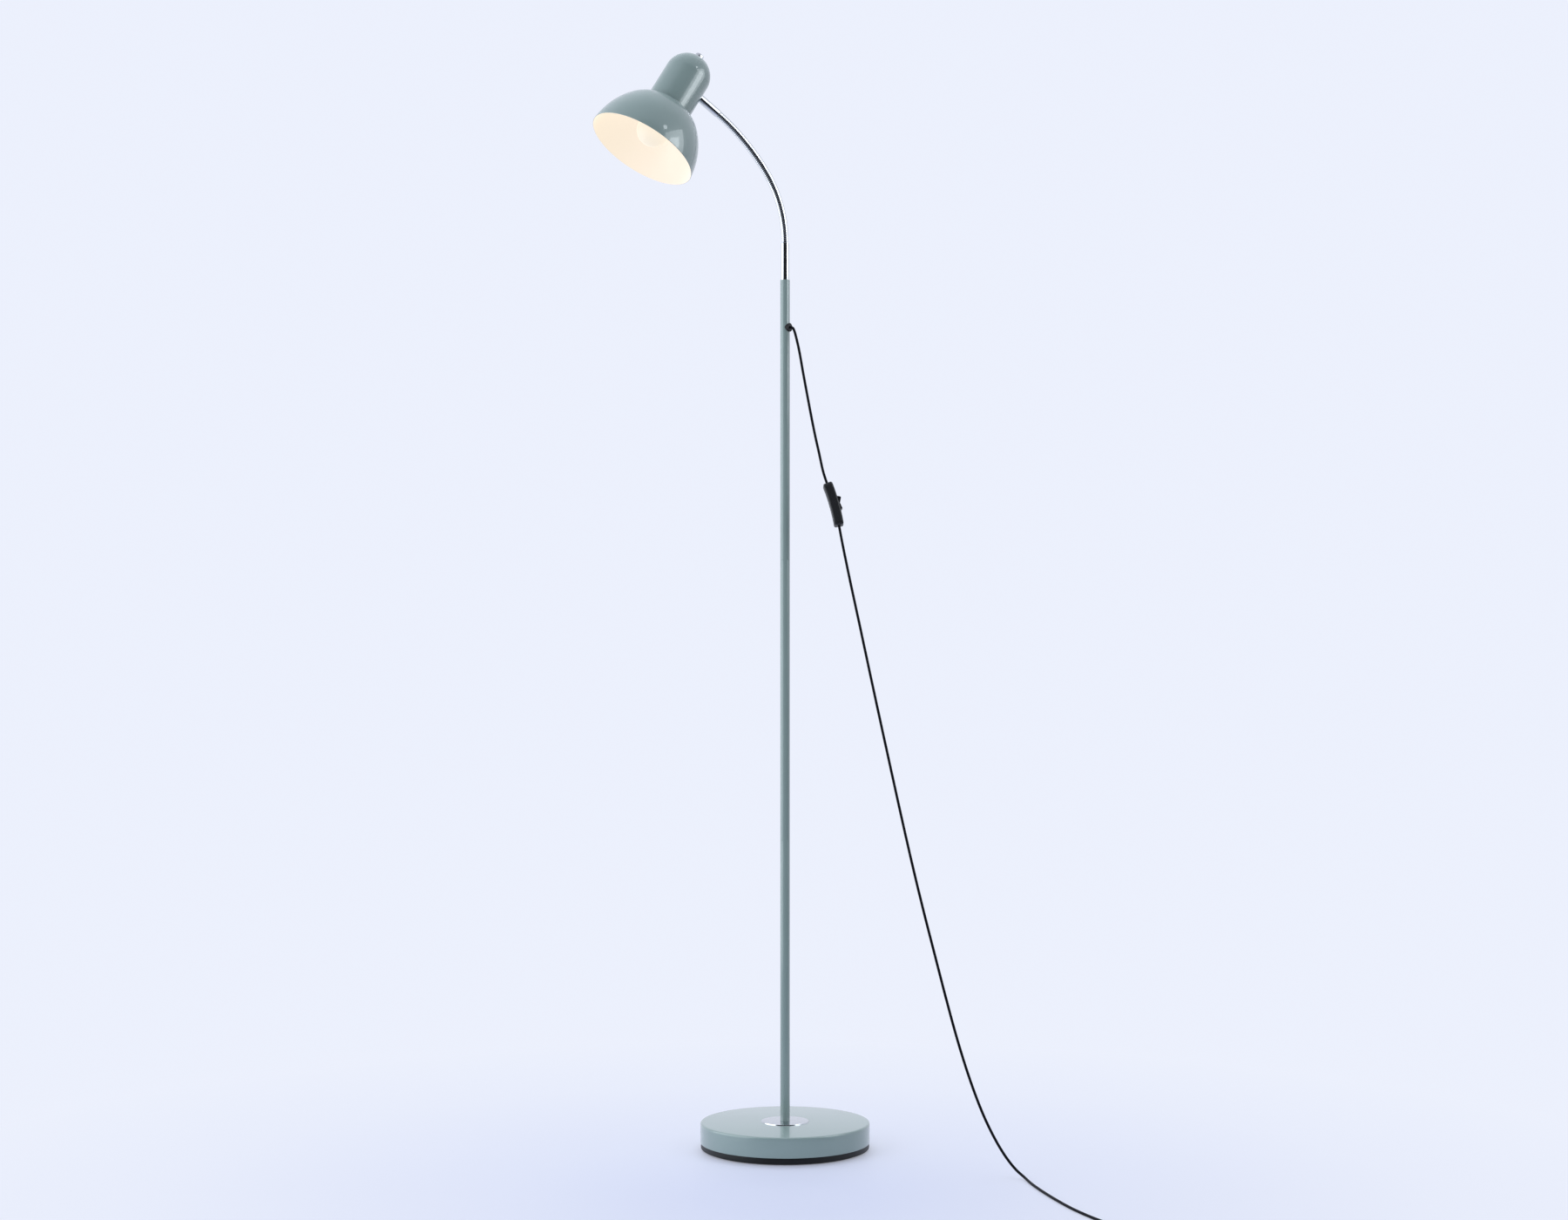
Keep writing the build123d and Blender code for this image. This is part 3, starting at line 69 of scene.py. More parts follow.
TRAY_LIP_RADIUS = 0.1137
TRAY_LIP_TOP = 0.0187
TRAY_INNER_RADIUS = 0.1117
DISC_RADIUS = 0.0324
DISC_TOP_RADIUS = 0.032

NECK_LENGTH = 0.203
NECK_SEGMENTS = 8
NECK_TURN_LOW = math.radians(36.8)
NECK_TURN_HIGH = math.radians(19.7)
NECK_BASE = 1.2297
HALF_NECK = NECK_LENGTH / 2
LOW_RADIUS = HALF_NECK / NECK_TURN_LOW
HIGH_RADIUS = HALF_NECK / NECK_TURN_HIGH
SEGMENT_LENGTH = NECK_LENGTH / NECK_SEGMENTS

RING_SPACING = 0.0005
RINGS_PER_RIB = 12
RIB_SIDES = 32
RIB_SQUARENESS = 7.0  # the higher, the flatter a rib's top
CORE_RINGS_PER_RIB = 2
CORE_SIDES = 12

CAP_RADIUS = 0.03105
CAP_TOP = 0.1541
CAP_WALL = 0.001
CAP_EDGE = 0.0003
CAP_STEPS = 28
NUT_HEIGHT = 0.006
NUT_RADIUS = 0.0065
NUT_TOP_RADIUS = 0.0058
NUT_SEAT_RADIUS = 0.0043
FERRULE_LENGTH = 0.0339
FERRULE_HEIGHT = 0.1115
FERRULE_BORE = 0.0025
FERRULE_END_GAP = 0.0008  # from a ferrule's rounded end to the gooseneck's
FERRULE_BORE_GAP = 0.00035
LOWER_FERRULE_RADIUS = 0.00575
SPIGOT_RADIUS = 0.00545
SPIGOT_LENGTH = 0.018
UPPER_FERRULE_RADIUS = 0.0055
THREAD_RADIUS = 0.0049
THREAD_START = 0.01805
THREAD_END = 0.0304

DOME_TOP = 0.0712
DOME_SPLIT = 0.055  # height where the wall's two arcs meet
LOW_ARC_CENTRE = (-0.02382, -0.00598)
LOW_ARC_RADIUS = 0.098
LOW_ARC_STEPS = 44
HIGH_ARC_CENTRE = (0.00749, 0.01892)
HIGH_ARC_RADIUS = 0.058
HIGH_ARC_STEPS = 20
LOW_ARC_BOTTOM = 3.9  # these five in degrees above level, seen from the centre of the arc
LOW_ARC_TOP = 38.0
HIGH_ARC_BOTTOM = 38.5
HIGH_ARC_TOP = 63.6
HIGH_ARC_INNER_TOP = 63.2
SHADE_WALL = 0.0009
SHADE_HOLE_RADIUS = 0.0197
SHADE_FLANGE_RADIUS = 0.0321
RIM_LIP = (0.07355, 0.0004)
RIM_LIP_STEPS = 8
PAINT_DEPTH = 0.0004  # under the shade's flat top, still painted

POLE_RADIUS = 0.0065
POLE_WALL = 0.001
POLE_TOP = 1.1786
POLE_BOTTOM = 0.0382
POLE_SECTIONS = 3

# ---------------------------------------------------------------- studio, along the photograph's axes
PHOTO_TURN = math.radians(58.5)  # from the photograph's axes to the lamp's
PHOTO_WIDTH = 1800.0  # pixels
PHOTO_FOCAL = 3095.0  # pixels
SENSOR_WIDTH = 36.0  # millimetres
CAMERA_PLACE = (-0.0014, -3.6596, 0.7309)
CAMERA_REACH = 100.0
FLOOR_RADIUS = 30.0
FLOOR_SIDES = 96
FLOOR_MIDDLE = (0, -0.30, 0)  # where the floor is least like the backdrop
BLACK = (0.0, 0.0, 0.0)
SOFTBOX_COLOUR = (0.90, 0.96, 1.0)
HEAD_AIM = (-0.1, 0, 1.4)
POLE_AIM = (0, 0, 0.75)
FOOT_AIM = (0, 0, 0)
# name, place, size, radiance, aim, seen in reflections, lights matt surfaces
SOFTBOXES = (
    ("wide_softbox", (2.43, -0.65, 1.95), (2.0, 1.5), 2.7, HEAD_AIM, True, False),
    ("key_softbox", (2.49, -0.76, 1.8), (0.95, 0.9), 3.7, HEAD_AIM, True, False),
    ("small_softbox", (1.7, -1.2, 2.9), (0.3, 0.3), 6.0, HEAD_AIM, True, False),
    ("left_strip", (-1.8, -0.3, 0.9), (2.4, 2.4), 2.0, POLE_AIM, True, False),
    ("top_softbox", (0, 1.3, 3.0), (2.4, 1.8), 3.0, FOOT_AIM, False, True),
    ("left_softbox", (-2.0, -1.4, 1.5), (1.2, 1.2), 2.0, FOOT_AIM, False, True),
    ("right_softbox", (2.4, -0.7, 2.2), (1.0, 1.0), 3.6, HEAD_AIM, False, True),
)


# ---------------------------------------------------------------- settings that a user would change
class LampSizes(bpy.types.PropertyGroup):
    """Sizes of the visible pieces."""

    cord_diameter: FloatProperty(
        name="Cord diameter", description="Thickness of the cord", default=0.0036, unit="LENGTH"
    )
    rib_pitch: FloatProperty(
        name="Rib pitch",
        description="Distance between two ribs of the gooseneck",
        default=SEGMENT_LENGTH / 10,
        unit="LENGTH",
    )
    rib_crest: FloatProperty(
        name="Rib radius", description="Radius of the gooseneck over its ribs", default=0.005, unit="LENGTH"
    )
    rib_root: FloatProperty(
        name="Groove radius",
        description="Radius of the gooseneck between its ribs",
        default=0.0044,
        unit="LENGTH",
    )
    sides: IntProperty(name="Sides", description="Faces round a turned piece", default=128, min=16, max=256)


class LampColours(bpy.types.PropertyGroup):
    """Colours of the lamp and its studio."""

    paint: FloatVectorProperty(
        name="Paint",
        description="Colour of the painted metal",
        default=(0.256, 0.345, 0.328),
        subtype="COLOR",
    )
    # painted glow: the shade's enamel emits this colour as painted light; the bulb, a real lamp, emits it
    # too
    glow: FloatVectorProperty(
        name="Glow",
        description="Colour of the lit inside of the shade",
        default=(1.0, 0.865, 0.68),
        subtype="COLOR",
    )
    cord: FloatVectorProperty(
        name="Cord", description="Colour of the cord", default=(0.003, 0.0035, 0.006), subtype="COLOR"
    )
    backdrop: FloatVectorProperty(
        name="Backdrop", description="Colour of the studio", default=(0.84, 0.875, 0.98), subtype="COLOR"
    )


def sizes():
    return bpy.context.scene.lamp_sizes


def colours():
    return bpy.context.scene.lamp_colours


# ---------------------------------------------------------------- shader tools
class Wire:
    """An output in a shader tree that Python expressions can work on."""

    def __init__(self, finish, socket):
        self.finish = finish
        self.socket = socket

    def work(self, operation, first, second):
        return self.finish.node("ShaderNodeMath", {"operation": operation}, {0: first, 1: second})

    def __add__(self, other):
        return self.work("ADD", self, other)

    def __radd__(self, other):
        return self.work("ADD", other, self)

    def __sub__(self, other):
        return self.work("SUBTRACT", self, other)

    def __rsub__(self, other):
        return self.work("SUBTRACT", other, self)

    def __mul__(self, other):
        return self.work("MULTIPLY", self, other)

    def __rmul__(self, other):
        return self.work("MULTIPLY", other, self)


class Finish:
    """A material, or the world, whose nodes are being wired."""

    def __init__(self, name, owner=None):
        self.owner = owner or bpy.data.materials.new(name)
        self.owner.use_nodes = True
        self.tree = self.owner.node_tree
        self.tree.nodes.clear()
        self.place = self.node("ShaderNodeTexCoord", out="Object" if owner is None else "Generated")

    def node(self, kind, settings=None, sockets=None, out=0):
        """Adds a node: its settings first, then the values or links of its sockets."""
        made = self.tree.nodes.new(kind)
        for name, value in (settings or {}).items():
            if name == "stops":
                self.set_stops(made.color_ramp, value)
            else:
                setattr(made, name, value)
        for key, value in (sockets or {}).items():
            self.feed(made.inputs[key], value)
        return Wire(self, made.outputs[out]) if made.outputs else None

    def feed(self, socket, value):
        """Links a wire to a socket, or sets the socket's value."""
        if isinstance(value, Wire):
            self.tree.links.new(value.socket, socket)
        else:
            socket.default_value = value

    @staticmethod
    def set_stops(ramp, stops):
        while len(ramp.elements) < len(stops):
            ramp.elements.new(0.5)
        for element, (position, colour) in zip(ramp.elements, stops):
            element.position = position
            element.color = colour

    def noise(self, scale, detail=2.0, rough=0.5):
        """Noise on the piece's own coordinates. Scale is in features for each metre."""
        sockets = {"Vector": self.place, "Scale": scale, "Detail": detail, "Roughness": rough}
        return self.node("ShaderNodeTexNoise", {"noise_dimensions": "3D"}, sockets)

    def along(self, direction):
        """How far a point lies along a direction, from the origin."""
        sockets = {0: self.place, 1: direction}
        return self.node("ShaderNodeVectorMath", {"operation": "DOT_PRODUCT"}, sockets, out="Value")

    def blend(self, factor, low, high):
        """A colour between two, each given as three numbers or a wire."""
        pair = [value if isinstance(value, Wire) else (*value, 1.0) for value in (low, high)]
        sockets = {0: factor, 6: pair[0], 7: pair[1]}
        return self.node("ShaderNodeMix", {"data_type": "RGBA", "clamp_factor": True}, sockets, out=2)

    def steps(self, factor, *stops):
        """A number that follows (position, value) stops as the factor rises."""
        grey = [(position, (value, value, value, 1.0)) for position, value in stops]
        return self.node("ShaderNodeValToRGB", {"stops": grey}, {0: factor})

    def bump(self, height, strength, distance):
        sockets = {"Height": height, "Strength": strength, "Distance": distance}
        return self.node("ShaderNodeBump", None, sockets)

    def surface(self, **values):
        """The Principled shader: names with their spaces left out, values or wires."""
        shader = self.node("ShaderNodeBsdfPrincipled")
        for socket in shader.socket.node.inputs:
            key = socket.name.replace(" ", "")
            if key in values:
                self.feed(socket, values.pop(key))
        if values:
            raise ValueError(f"the shader has no {sorted(values)}")
        return shader

    def done(self, shader, kind="ShaderNodeOutputMaterial"):
        """Wires the shader to the output, and returns the material or the world."""
        self.node(kind, None, {"Surface": shader})
        return self.owner


def shade_of(colour, factor):
    """A colour made lighter or darker."""
    return tuple(min(channel * factor, 1.0) for channel in colour)


# ---------------------------------------------------------------- finishes
def sage_paint(name="sage_paint", skin_roughness=0.05, peel_scale=320.0, peel_depth=0.05):
    """Glossy stoved paint: a faint orange peel under a clear, smooth skin."""
    f = Finish(name)
    tint = tuple(colours().paint)
    cloud = f.noise(9.0, 3.0)
    peel = f.noise(peel_scale, 1.5)
    dust = f.noise(2600.0, 1.0)
    colour = f.blend(cloud, shade_of(tint, 0.95), shade_of(tint, 1.05))
    rough = 0.30 + cloud * 0.08 + dust * 0.05
    skin = f.bump(peel, peel_depth, 0.0001)
    return f.done(
        f.surface(
            BaseColor=colour,
            Roughness=rough,
            CoatWeight=0.9,
            CoatRoughness=skin_roughness,
            Normal=skin,
            SpecularIORLevel=0.35,
        )
    )


def enamel_with_painted_glow():
    """White enamel inside the shade with a painted glow: emission stands in for the bulb's light, paler
    towards the pole as a painted pool of light.
    """
    f = Finish("enamel_with_painted_glow")
    glow = tuple(colours().glow)
    cloud = f.noise(16.0, 2.0)
    # painted light: the enamel emits a glow in place of the bulb's light, paler towards the pole as a
    # painted pool of light
    painted_glow_direction = photo_place(1, 0, -1).normalized()
    middle = head_placing().translation.dot(painted_glow_direction)
    share = (f.along(painted_glow_direction) - middle) * 6.0 + 0.4 + cloud * 0.1
    lit = f.blend(share, glow, (1.0, 0.875, 0.78))
    rough = 0.34 + cloud * 0.1
    peel = f.bump(f.noise(700.0, 1.0), 0.08, 0.0002)
    # the enamel's own colour is kept dark, so the painted glow gives most of the inside's brightness
    enamel = f.blend(cloud, (0.30, 0.28, 0.24), (0.34, 0.32, 0.28))
    return f.done(
        f.surface(BaseColor=enamel, Roughness=rough, EmissionColor=lit, EmissionStrength=0.71, Normal=peel)
    )


def chrome(name="chrome", roughness=0.11):
    """Bright plating with faint polishing marks."""
    f = Finish(name)
    haze = f.noise(60.0, 3.0)
    marks = f.noise(90.0, 1.0)
    rough = roughness + haze * 0.05
    colour = f.blend(haze, (0.58, 0.60, 0.63), (0.70, 0.72, 0.75))
    skin = f.bump(marks, 0.01, 0.0001)
    return f.done(f.surface(BaseColor=colour, Metallic=1.0, Roughness=rough, Normal=skin))


def moulded(name, tint, roughness=0.42, grain=1800.0, depth=0.12):
    """Moulded plastic with a fine spark-eroded grain."""
    f = Finish(name)
    cloud = f.noise(30.0, 2.0)
    grit = f.noise(grain, 2.0)
    colour = f.blend(cloud, shade_of(tint, 0.9), shade_of(tint, 1.12))
    rough = roughness + grit * 0.08
    skin = f.bump(grit, depth, 0.00015)
    return f.done(f.surface(BaseColor=colour, Roughness=rough, Normal=skin, SpecularIORLevel=0.3))


def cord_sheath():
    """Soft black cord, with the faint drag lines of its sheath."""
    f = Finish("cord_sheath")
    tint = tuple(colours().cord)
    mottle = f.noise(240.0, 2.0)
    fine = f.noise(3200.0, 1.0)
    colour = f.blend(mottle, shade_of(tint, 0.8), shade_of(tint, 1.5))
    rough = 0.38 + mottle * 0.14
    skin = f.bump(fine, 0.08, 0.0001)
    return f.done(f.surface(BaseColor=colour, Roughness=rough, Normal=skin, SpecularIORLevel=0.08))


def felt():
    """Dark felt: short fibres seen as a tangled noise."""
    f = Finish("felt")
    fibres = f.noise(1400.0, 4.0, rough=0.7)
    colour = f.blend(fibres, (0.010, 0.010, 0.011), (0.045, 0.045, 0.048))
    return f.done(f.surface(BaseColor=colour, Roughness=0.95, Normal=f.bump(fibres, 0.5, 0.0006)))


def cast_metal():
    """Rough grey casting."""
    f = Finish("cast_metal")
    lumps = f.noise(320.0, 4.0)
    colour = f.blend(lumps, (0.05, 0.05, 0.052), (0.12, 0.12, 0.12))
    skin = f.bump(lumps, 0.5, 0.0006)
    return f.done(f.surface(BaseColor=colour, Metallic=0.6, Roughness=0.55 + lumps * 0.2, Normal=skin))


def plated(name, low, high, roughness):
    """Plated steel or brass with a slightly uneven sheen."""
    f = Finish(name)
    streaks = f.noise(180.0, 4.0)
    colour = f.blend(streaks, low, high)
    rough = roughness + streaks * 0.12
    skin = f.bump(streaks, 0.06, 0.0001)
    return f.done(f.surface(BaseColor=colour, Metallic=1.0, Roughness=rough, Normal=skin))


def opal_glass():
    """Opal bulb, lit almost evenly."""
    f = Finish("opal_glass")
    glow = tuple(colours().glow)
    cloud = f.noise(40.0, 2.0)
    lit = f.blend(cloud, glow, shade_of(glow, 1.04))
    opal = f.blend(cloud, (0.34, 0.32, 0.29), (0.38, 0.36, 0.33))
    return f.done(
        f.surface(
            BaseColor=opal,
            Roughness=0.35 + cloud * 0.05,
            SpecularIORLevel=0.1,
            EmissionColor=lit,
            EmissionStrength=0.67,
        )
    )


class Finishes:
    """The materials that several pieces share, each made once."""

    made = {}
    makers = {
        "paint": sage_paint,
        "pole_paint": lambda: sage_paint("pole_paint", 0.14, 60.0, 0.01),
        # white enamel with a painted glow in place of the bulb's light
        "enamel": enamel_with_painted_glow,
        "chrome": chrome,
        "neck_chrome": lambda: chrome("neck_chrome", 0.12),
        "tray": lambda: moulded("tray_black", (0.006, 0.007, 0.007), 0.4),
        "switch": lambda: moulded("switch_black", (0.016, 0.017, 0.019), 0.42, 2200.0),
        "rocker": lambda: moulded("rocker_black", (0.014, 0.015, 0.017), 0.28, 2600.0, 0.05),
        "holder": lambda: moulded("holder_white", (0.62, 0.60, 0.55), 0.4, 1500.0),
        "ceramic": lambda: moulded("contact_ceramic", (0.66, 0.64, 0.60), 0.55, 900.0),
        "cord": cord_sheath,
        "plug": lambda: moulded("plug_black", (0.014, 0.014, 0.016), 0.4, 1700.0),
        "grommet": lambda: moulded("grommet_rubber", (0.012, 0.012, 0.013), 0.5, 1200.0),
        "felt": felt,
        "casting": cast_metal,
        "steel": lambda: plated("zinc_steel", (0.50, 0.51, 0.53), (0.66, 0.67, 0.68), 0.26),
        "brass": lambda: plated("contact_brass", (0.62, 0.44, 0.18), (0.80, 0.62, 0.30), 0.24),
        "nickel": lambda: plated("pin_nickel", (0.60, 0.57, 0.52), (0.74, 0.71, 0.66), 0.16),
        "aluminium": lambda: plated("bulb_aluminium", (0.66, 0.66, 0.67), (0.78, 0.78, 0.79), 0.22),
        "opal": opal_glass,
        "core": lambda: moulded("core_brown", (0.12, 0.05, 0.02), 0.4),
    }

    @classmethod
    def get(cls, name):
        if name not in cls.made:
            cls.made[name] = cls.makers[name]()
        return cls.made[name]


# ---------------------------------------------------------------- mesh tools
ON_AXIS = 1e-7
SHARP_ANGLE = math.radians(38)


def rounded(corners, steps=6):
    """Points along an outline of (radius, height, corner rounding), with each corner turned into an arc."""
    points = []
    count = len(corners)
    for index, (x, y, radius) in enumerate(corners):
        here = Vector((x, y))
        if not radius:
            points.append(here)
            continue
        before = (Vector(corners[index - 1][:2]) - here).normalized()
        after = (Vector(corners[(index + 1) % count][:2]) - here).normalized()
        half = before.angle(after) / 2
        reach = radius / math.tan(half)
        centre = here + (before + after).normalized() * (radius / math.sin(half))
        start = here + before * reach - centre
        end = here + after * reach - centre
        turn = start.angle_signed(end)
        for step in range(steps + 1):
            angle = -turn * step / steps
            points.append(centre + Matrix.Rotation(angle, 2) @ start)
    return points


def arc(centre, radius, start, end, steps):
    """Points on an arc of the (radius, height) plane, angles in degrees."""
    points = []
    for step in range(steps + 1):
        angle = math.radians(start + (end - start) * step / steps)
        points.append(Vector((centre[0] + radius * math.cos(angle), centre[1] + radius * math.sin(angle))))
    return points


def new_piece(name, mesh, *finishes):
    piece = bpy.data.objects.new(name, mesh)
    bpy.context.scene.collection.objects.link(piece)
    for finish in finishes:
        mesh.materials.append(finish)
    return piece


def lathe(name, outline, placing, *finishes, inside=None):
    """Turns a closed outline about Z. Faces whose middle passes the inside test take the second finish."""
    sides = sizes().sides
    made = bmesh.new()
    rings = []
    for point in outline:
        if point.x < ON_AXIS:
            rings.append([made.verts.new((0, 0, point.y))])
            continue
        ring = []
        for side in range(sides):
            angle = 2 * math.pi * side / sides
            ring.append(made.verts.new((point.x * math.cos(angle), point.x * math.sin(angle), point.y)))
        rings.append(ring)
    for index, ring in enumerate(rings):
        other = rings[(index + 1) % len(rings)]
        if len(ring) == 1 and len(other) == 1:
            continue
        middle = (outline[index] + outline[(index + 1) % len(outline)]) / 2
        for side in range(sides):
            following = (side + 1) % sides
            if len(ring) == 1:
                corners = (ring[0], other[following], other[side])
            elif len(other) == 1:
                corners = (ring[side], ring[following], other[0])
            else:
                corners = (ring[side], ring[following], other[following], other[side])
            face = made.faces.new(corners)
            face.smooth = True
            if inside and inside(middle):
                face.material_index = 1
    bmesh.ops.recalc_face_normals(made, faces=made.faces)
    made.transform(placing)
    mesh = bpy.data.meshes.new(name)
    made.to_mesh(mesh)
    made.free()
    mesh.set_sharp_from_angle(angle=SHARP_ANGLE)
    return new_piece(name, mesh, *finishes)


def neck_point(length):
    """The gooseneck's centreline at a length from its lower end, and the angle turned there."""
    low = min(length, HALF_NECK) / LOW_RADIUS
    forward = LOW_RADIUS * (1 - math.cos(low))
    height = LOW_RADIUS * math.sin(low)
    angle = low
    if length > HALF_NECK:
        angle = low + (length - HALF_NECK) / HIGH_RADIUS
        forward += HIGH_RADIUS * (math.cos(low) - math.cos(angle))
        height += HIGH_RADIUS * (math.sin(angle) - math.sin(low))
    return Vector((0, -forward, NECK_BASE + height)), angle


def head_placing():
    """From the head's own frame, with Z along its axis from the rim's plane, to the lamp's."""
    end, turn = neck_point(NECK_LENGTH)
    along = Vector((0, -math.sin(turn), math.cos(turn)))
    axis = Vector((0, math.cos(turn), math.sin(turn)))
    origin = end + along * (FERRULE_LENGTH + CAP_RADIUS) - axis * FERRULE_HEIGHT
    across = axis.cross(Vector((1, 0, 0)))
    columns = Matrix((Vector((1, 0, 0)), across, axis)).transposed()
    return Matrix.Translation(origin) @ columns.to_4x4()


def paint_nodes(finish, *names):
    """Gives CAD nodes a finish in place of their plain one."""
    for name in names:
        for slot in NODES[name].material_slots:
            slot.material = finish


def photo_place(right, away, up):
    """A point given along the photograph's axes, in the lamp's frame."""
    turn = Matrix.Rotation(PHOTO_TURN, 3, "Z")
    return turn @ Vector((right, away, up))


# ---------------------------------------------------------------- cord route, as in the solids
CORD_AZIMUTH = math.radians(26.0)
UPPER_ROUTE = [
    (0.0081, 1.114), (0.0122, 1.114), (0.0152, 1.1086), (0.0182, 1.099), (0.023, 1.081), (0.029, 1.051),
    (0.0375, 1.012), (0.0464, 0.972), (0.0549, 0.94),
]
LOWER_ROUTE = [
    (0.1017, 0.775), (0.1157, 0.72), (0.1294, 0.665), (0.1432, 0.61), (0.1572, 0.555), (0.1713, 0.5),
    (0.1855, 0.445), (0.2002, 0.39), (0.2158, 0.335), (0.2324, 0.28), (0.2489, 0.225), (0.2663, 0.17),
    (0.2848, 0.12), (0.3034, 0.078), (0.3214, 0.047), (0.3368, 0.026),
]
FLOOR_ROUTE = [
    (0.3162, 0.1542, 0.0106), (0.3318, 0.1576, 0.0028), (0.358, 0.1468, 0.0019), (0.3848, 0.137, 0.0019),
    (0.412, 0.1277, 0.0019), (0.453, 0.115, 0.0019), (0.503, 0.1014, 0.0019), (0.552, 0.0928, 0.0019),
]
TAIL_ROUTE = [(0.635, 0.025, 0.0042), (0.637, 0.008, 0.0034)]
SWITCH_REACH = 0.0783
SWITCH_HEIGHT = 0.8723
SWITCH_LEAN = math.radians(18.3)
SWITCH_FACE = math.radians(58.5)
SWITCH_ARCH = 0.28
HALF_SWITCH_LENGTH = 0.03
CORD_IN_SWITCH = 0.0045
END_RUN = 3  # cord diameters that the cord runs straight at the coil's end and the plug
STRAIGHT_AT_SWITCH = 0.012
COIL_ENTRY = Vector((0.622, 0.0785, 0.0))
COIL_HEADING = math.radians(-15.0)
COIL_RADIUS = 0.0245
COIL_PITCH = 0.0048
COIL_LOW = 0.003
COIL_HIGH = 0.0074
COIL_TURNS_IN = 2.0
COIL_TURNS_RISING = 0.5
COIL_TURNS_OUT = 1.75
COIL_POINTS_PER_TURN = 14
SPLINE_PULL = 0.9  # share of the spline's corner cutting that the coil's points make up for
STRAIGHT_AT_COIL = 0.026
PLUG_END = Vector((0.652, -0.020, 0.00685))
PLUG_AZIMUTH = math.radians(-56.0)


def reach_point(reach, height):
    """A point in the upright plane that the hanging cord lies in."""
    return Vector((reach * math.cos(CORD_AZIMUTH), reach * math.sin(CORD_AZIMUTH), height))


def switch_end(end, depth):
    """A point on the cord's line at one end of the switch, at a depth inside its end face."""
    level = Vector((math.cos(SWITCH_FACE), math.sin(SWITCH_FACE), 0))
    up = reach_point(-math.sin(SWITCH_LEAN), math.cos(SWITCH_LEAN))
    out = (level - up * up.dot(level)).normalized()
    angle = end * HALF_SWITCH_LENGTH / SWITCH_ARCH
    place = out * (SWITCH_ARCH * (math.cos(angle) - 1)) + up * (SWITCH_ARCH * math.sin(angle))
    inward = (out * math.sin(angle) - up * math.cos(angle)) * end
    return reach_point(SWITCH_REACH, SWITCH_HEIGHT) + place + inward * depth


def coil_points():
    """The coil's points, clockwise from above: a spiral in, a rise over half a turn, a spiral out."""
    outward = Vector((-math.sin(COIL_HEADING), math.cos(COIL_HEADING), 0))
    centre = COIL_ENTRY - outward * COIL_RADIUS
    start = math.atan2(outward.y, outward.x)
    turns = COIL_TURNS_IN + COIL_TURNS_RISING + COIL_TURNS_OUT
    count = round(turns * COIL_POINTS_PER_TURN)
    points = []
    for index in range(count + 1):
        turned = turns * index / count
        inward = min(turned, COIL_TURNS_IN)
        rising = min(max(turned - COIL_TURNS_IN, 0), COIL_TURNS_RISING) / COIL_TURNS_RISING
        unwound = max(turned - COIL_TURNS_IN - COIL_TURNS_RISING, 0)
        radius = COIL_RADIUS - COIL_PITCH * (inward - unwound)
        radius /= math.cos(math.pi / COIL_POINTS_PER_TURN) ** SPLINE_PULL
        height = COIL_LOW + (COIL_HIGH - COIL_LOW) * (3 - 2 * rising) * rising**2
        angle = start - 2 * math.pi * turned
        points.append(centre + Vector((radius * math.cos(angle), radius * math.sin(angle), height)))
    return points


def cord_curve(name, points):
    """A round cord on a smooth spline through the route's corners."""
    curve = bpy.data.curves.new(name, "CURVE")
    curve.dimensions = "3D"
    curve.bevel_depth = sizes().cord_diameter / 2
    curve.bevel_resolution = 5
    curve.use_fill_caps = True
    curve.resolution_u = 12
    spline = curve.splines.new("NURBS")
    spline.points.add(len(points) - 1)
    for control, point in zip(spline.points, points):
        control.co = (*point, 1.0)
    spline.order_u = 3
    spline.use_endpoint_u = True
    return new_piece(name, curve, Finishes.get("cord"))


# ---------------------------------------------------------------- operators
class LAMP_OT_camera(bpy.types.Operator):
    """Places the camera where the photograph was taken"""

    bl_idname = "lamp.camera"
    bl_label = "Camera"

    def execute(self, context):
        data = bpy.data.cameras.new("photo_camera")
        data.sensor_width = SENSOR_WIDTH
        data.lens = PHOTO_FOCAL * SENSOR_WIDTH / PHOTO_WIDTH
        data.clip_end = CAMERA_REACH
        camera = bpy.data.objects.new("photo_camera", data)
        context.scene.collection.objects.link(camera)
        camera.location = photo_place(*CAMERA_PLACE)
        camera.rotation_euler = (math.radians(90), 0, PHOTO_TURN)
        context.scene.camera = camera
        return {"FINISHED"}


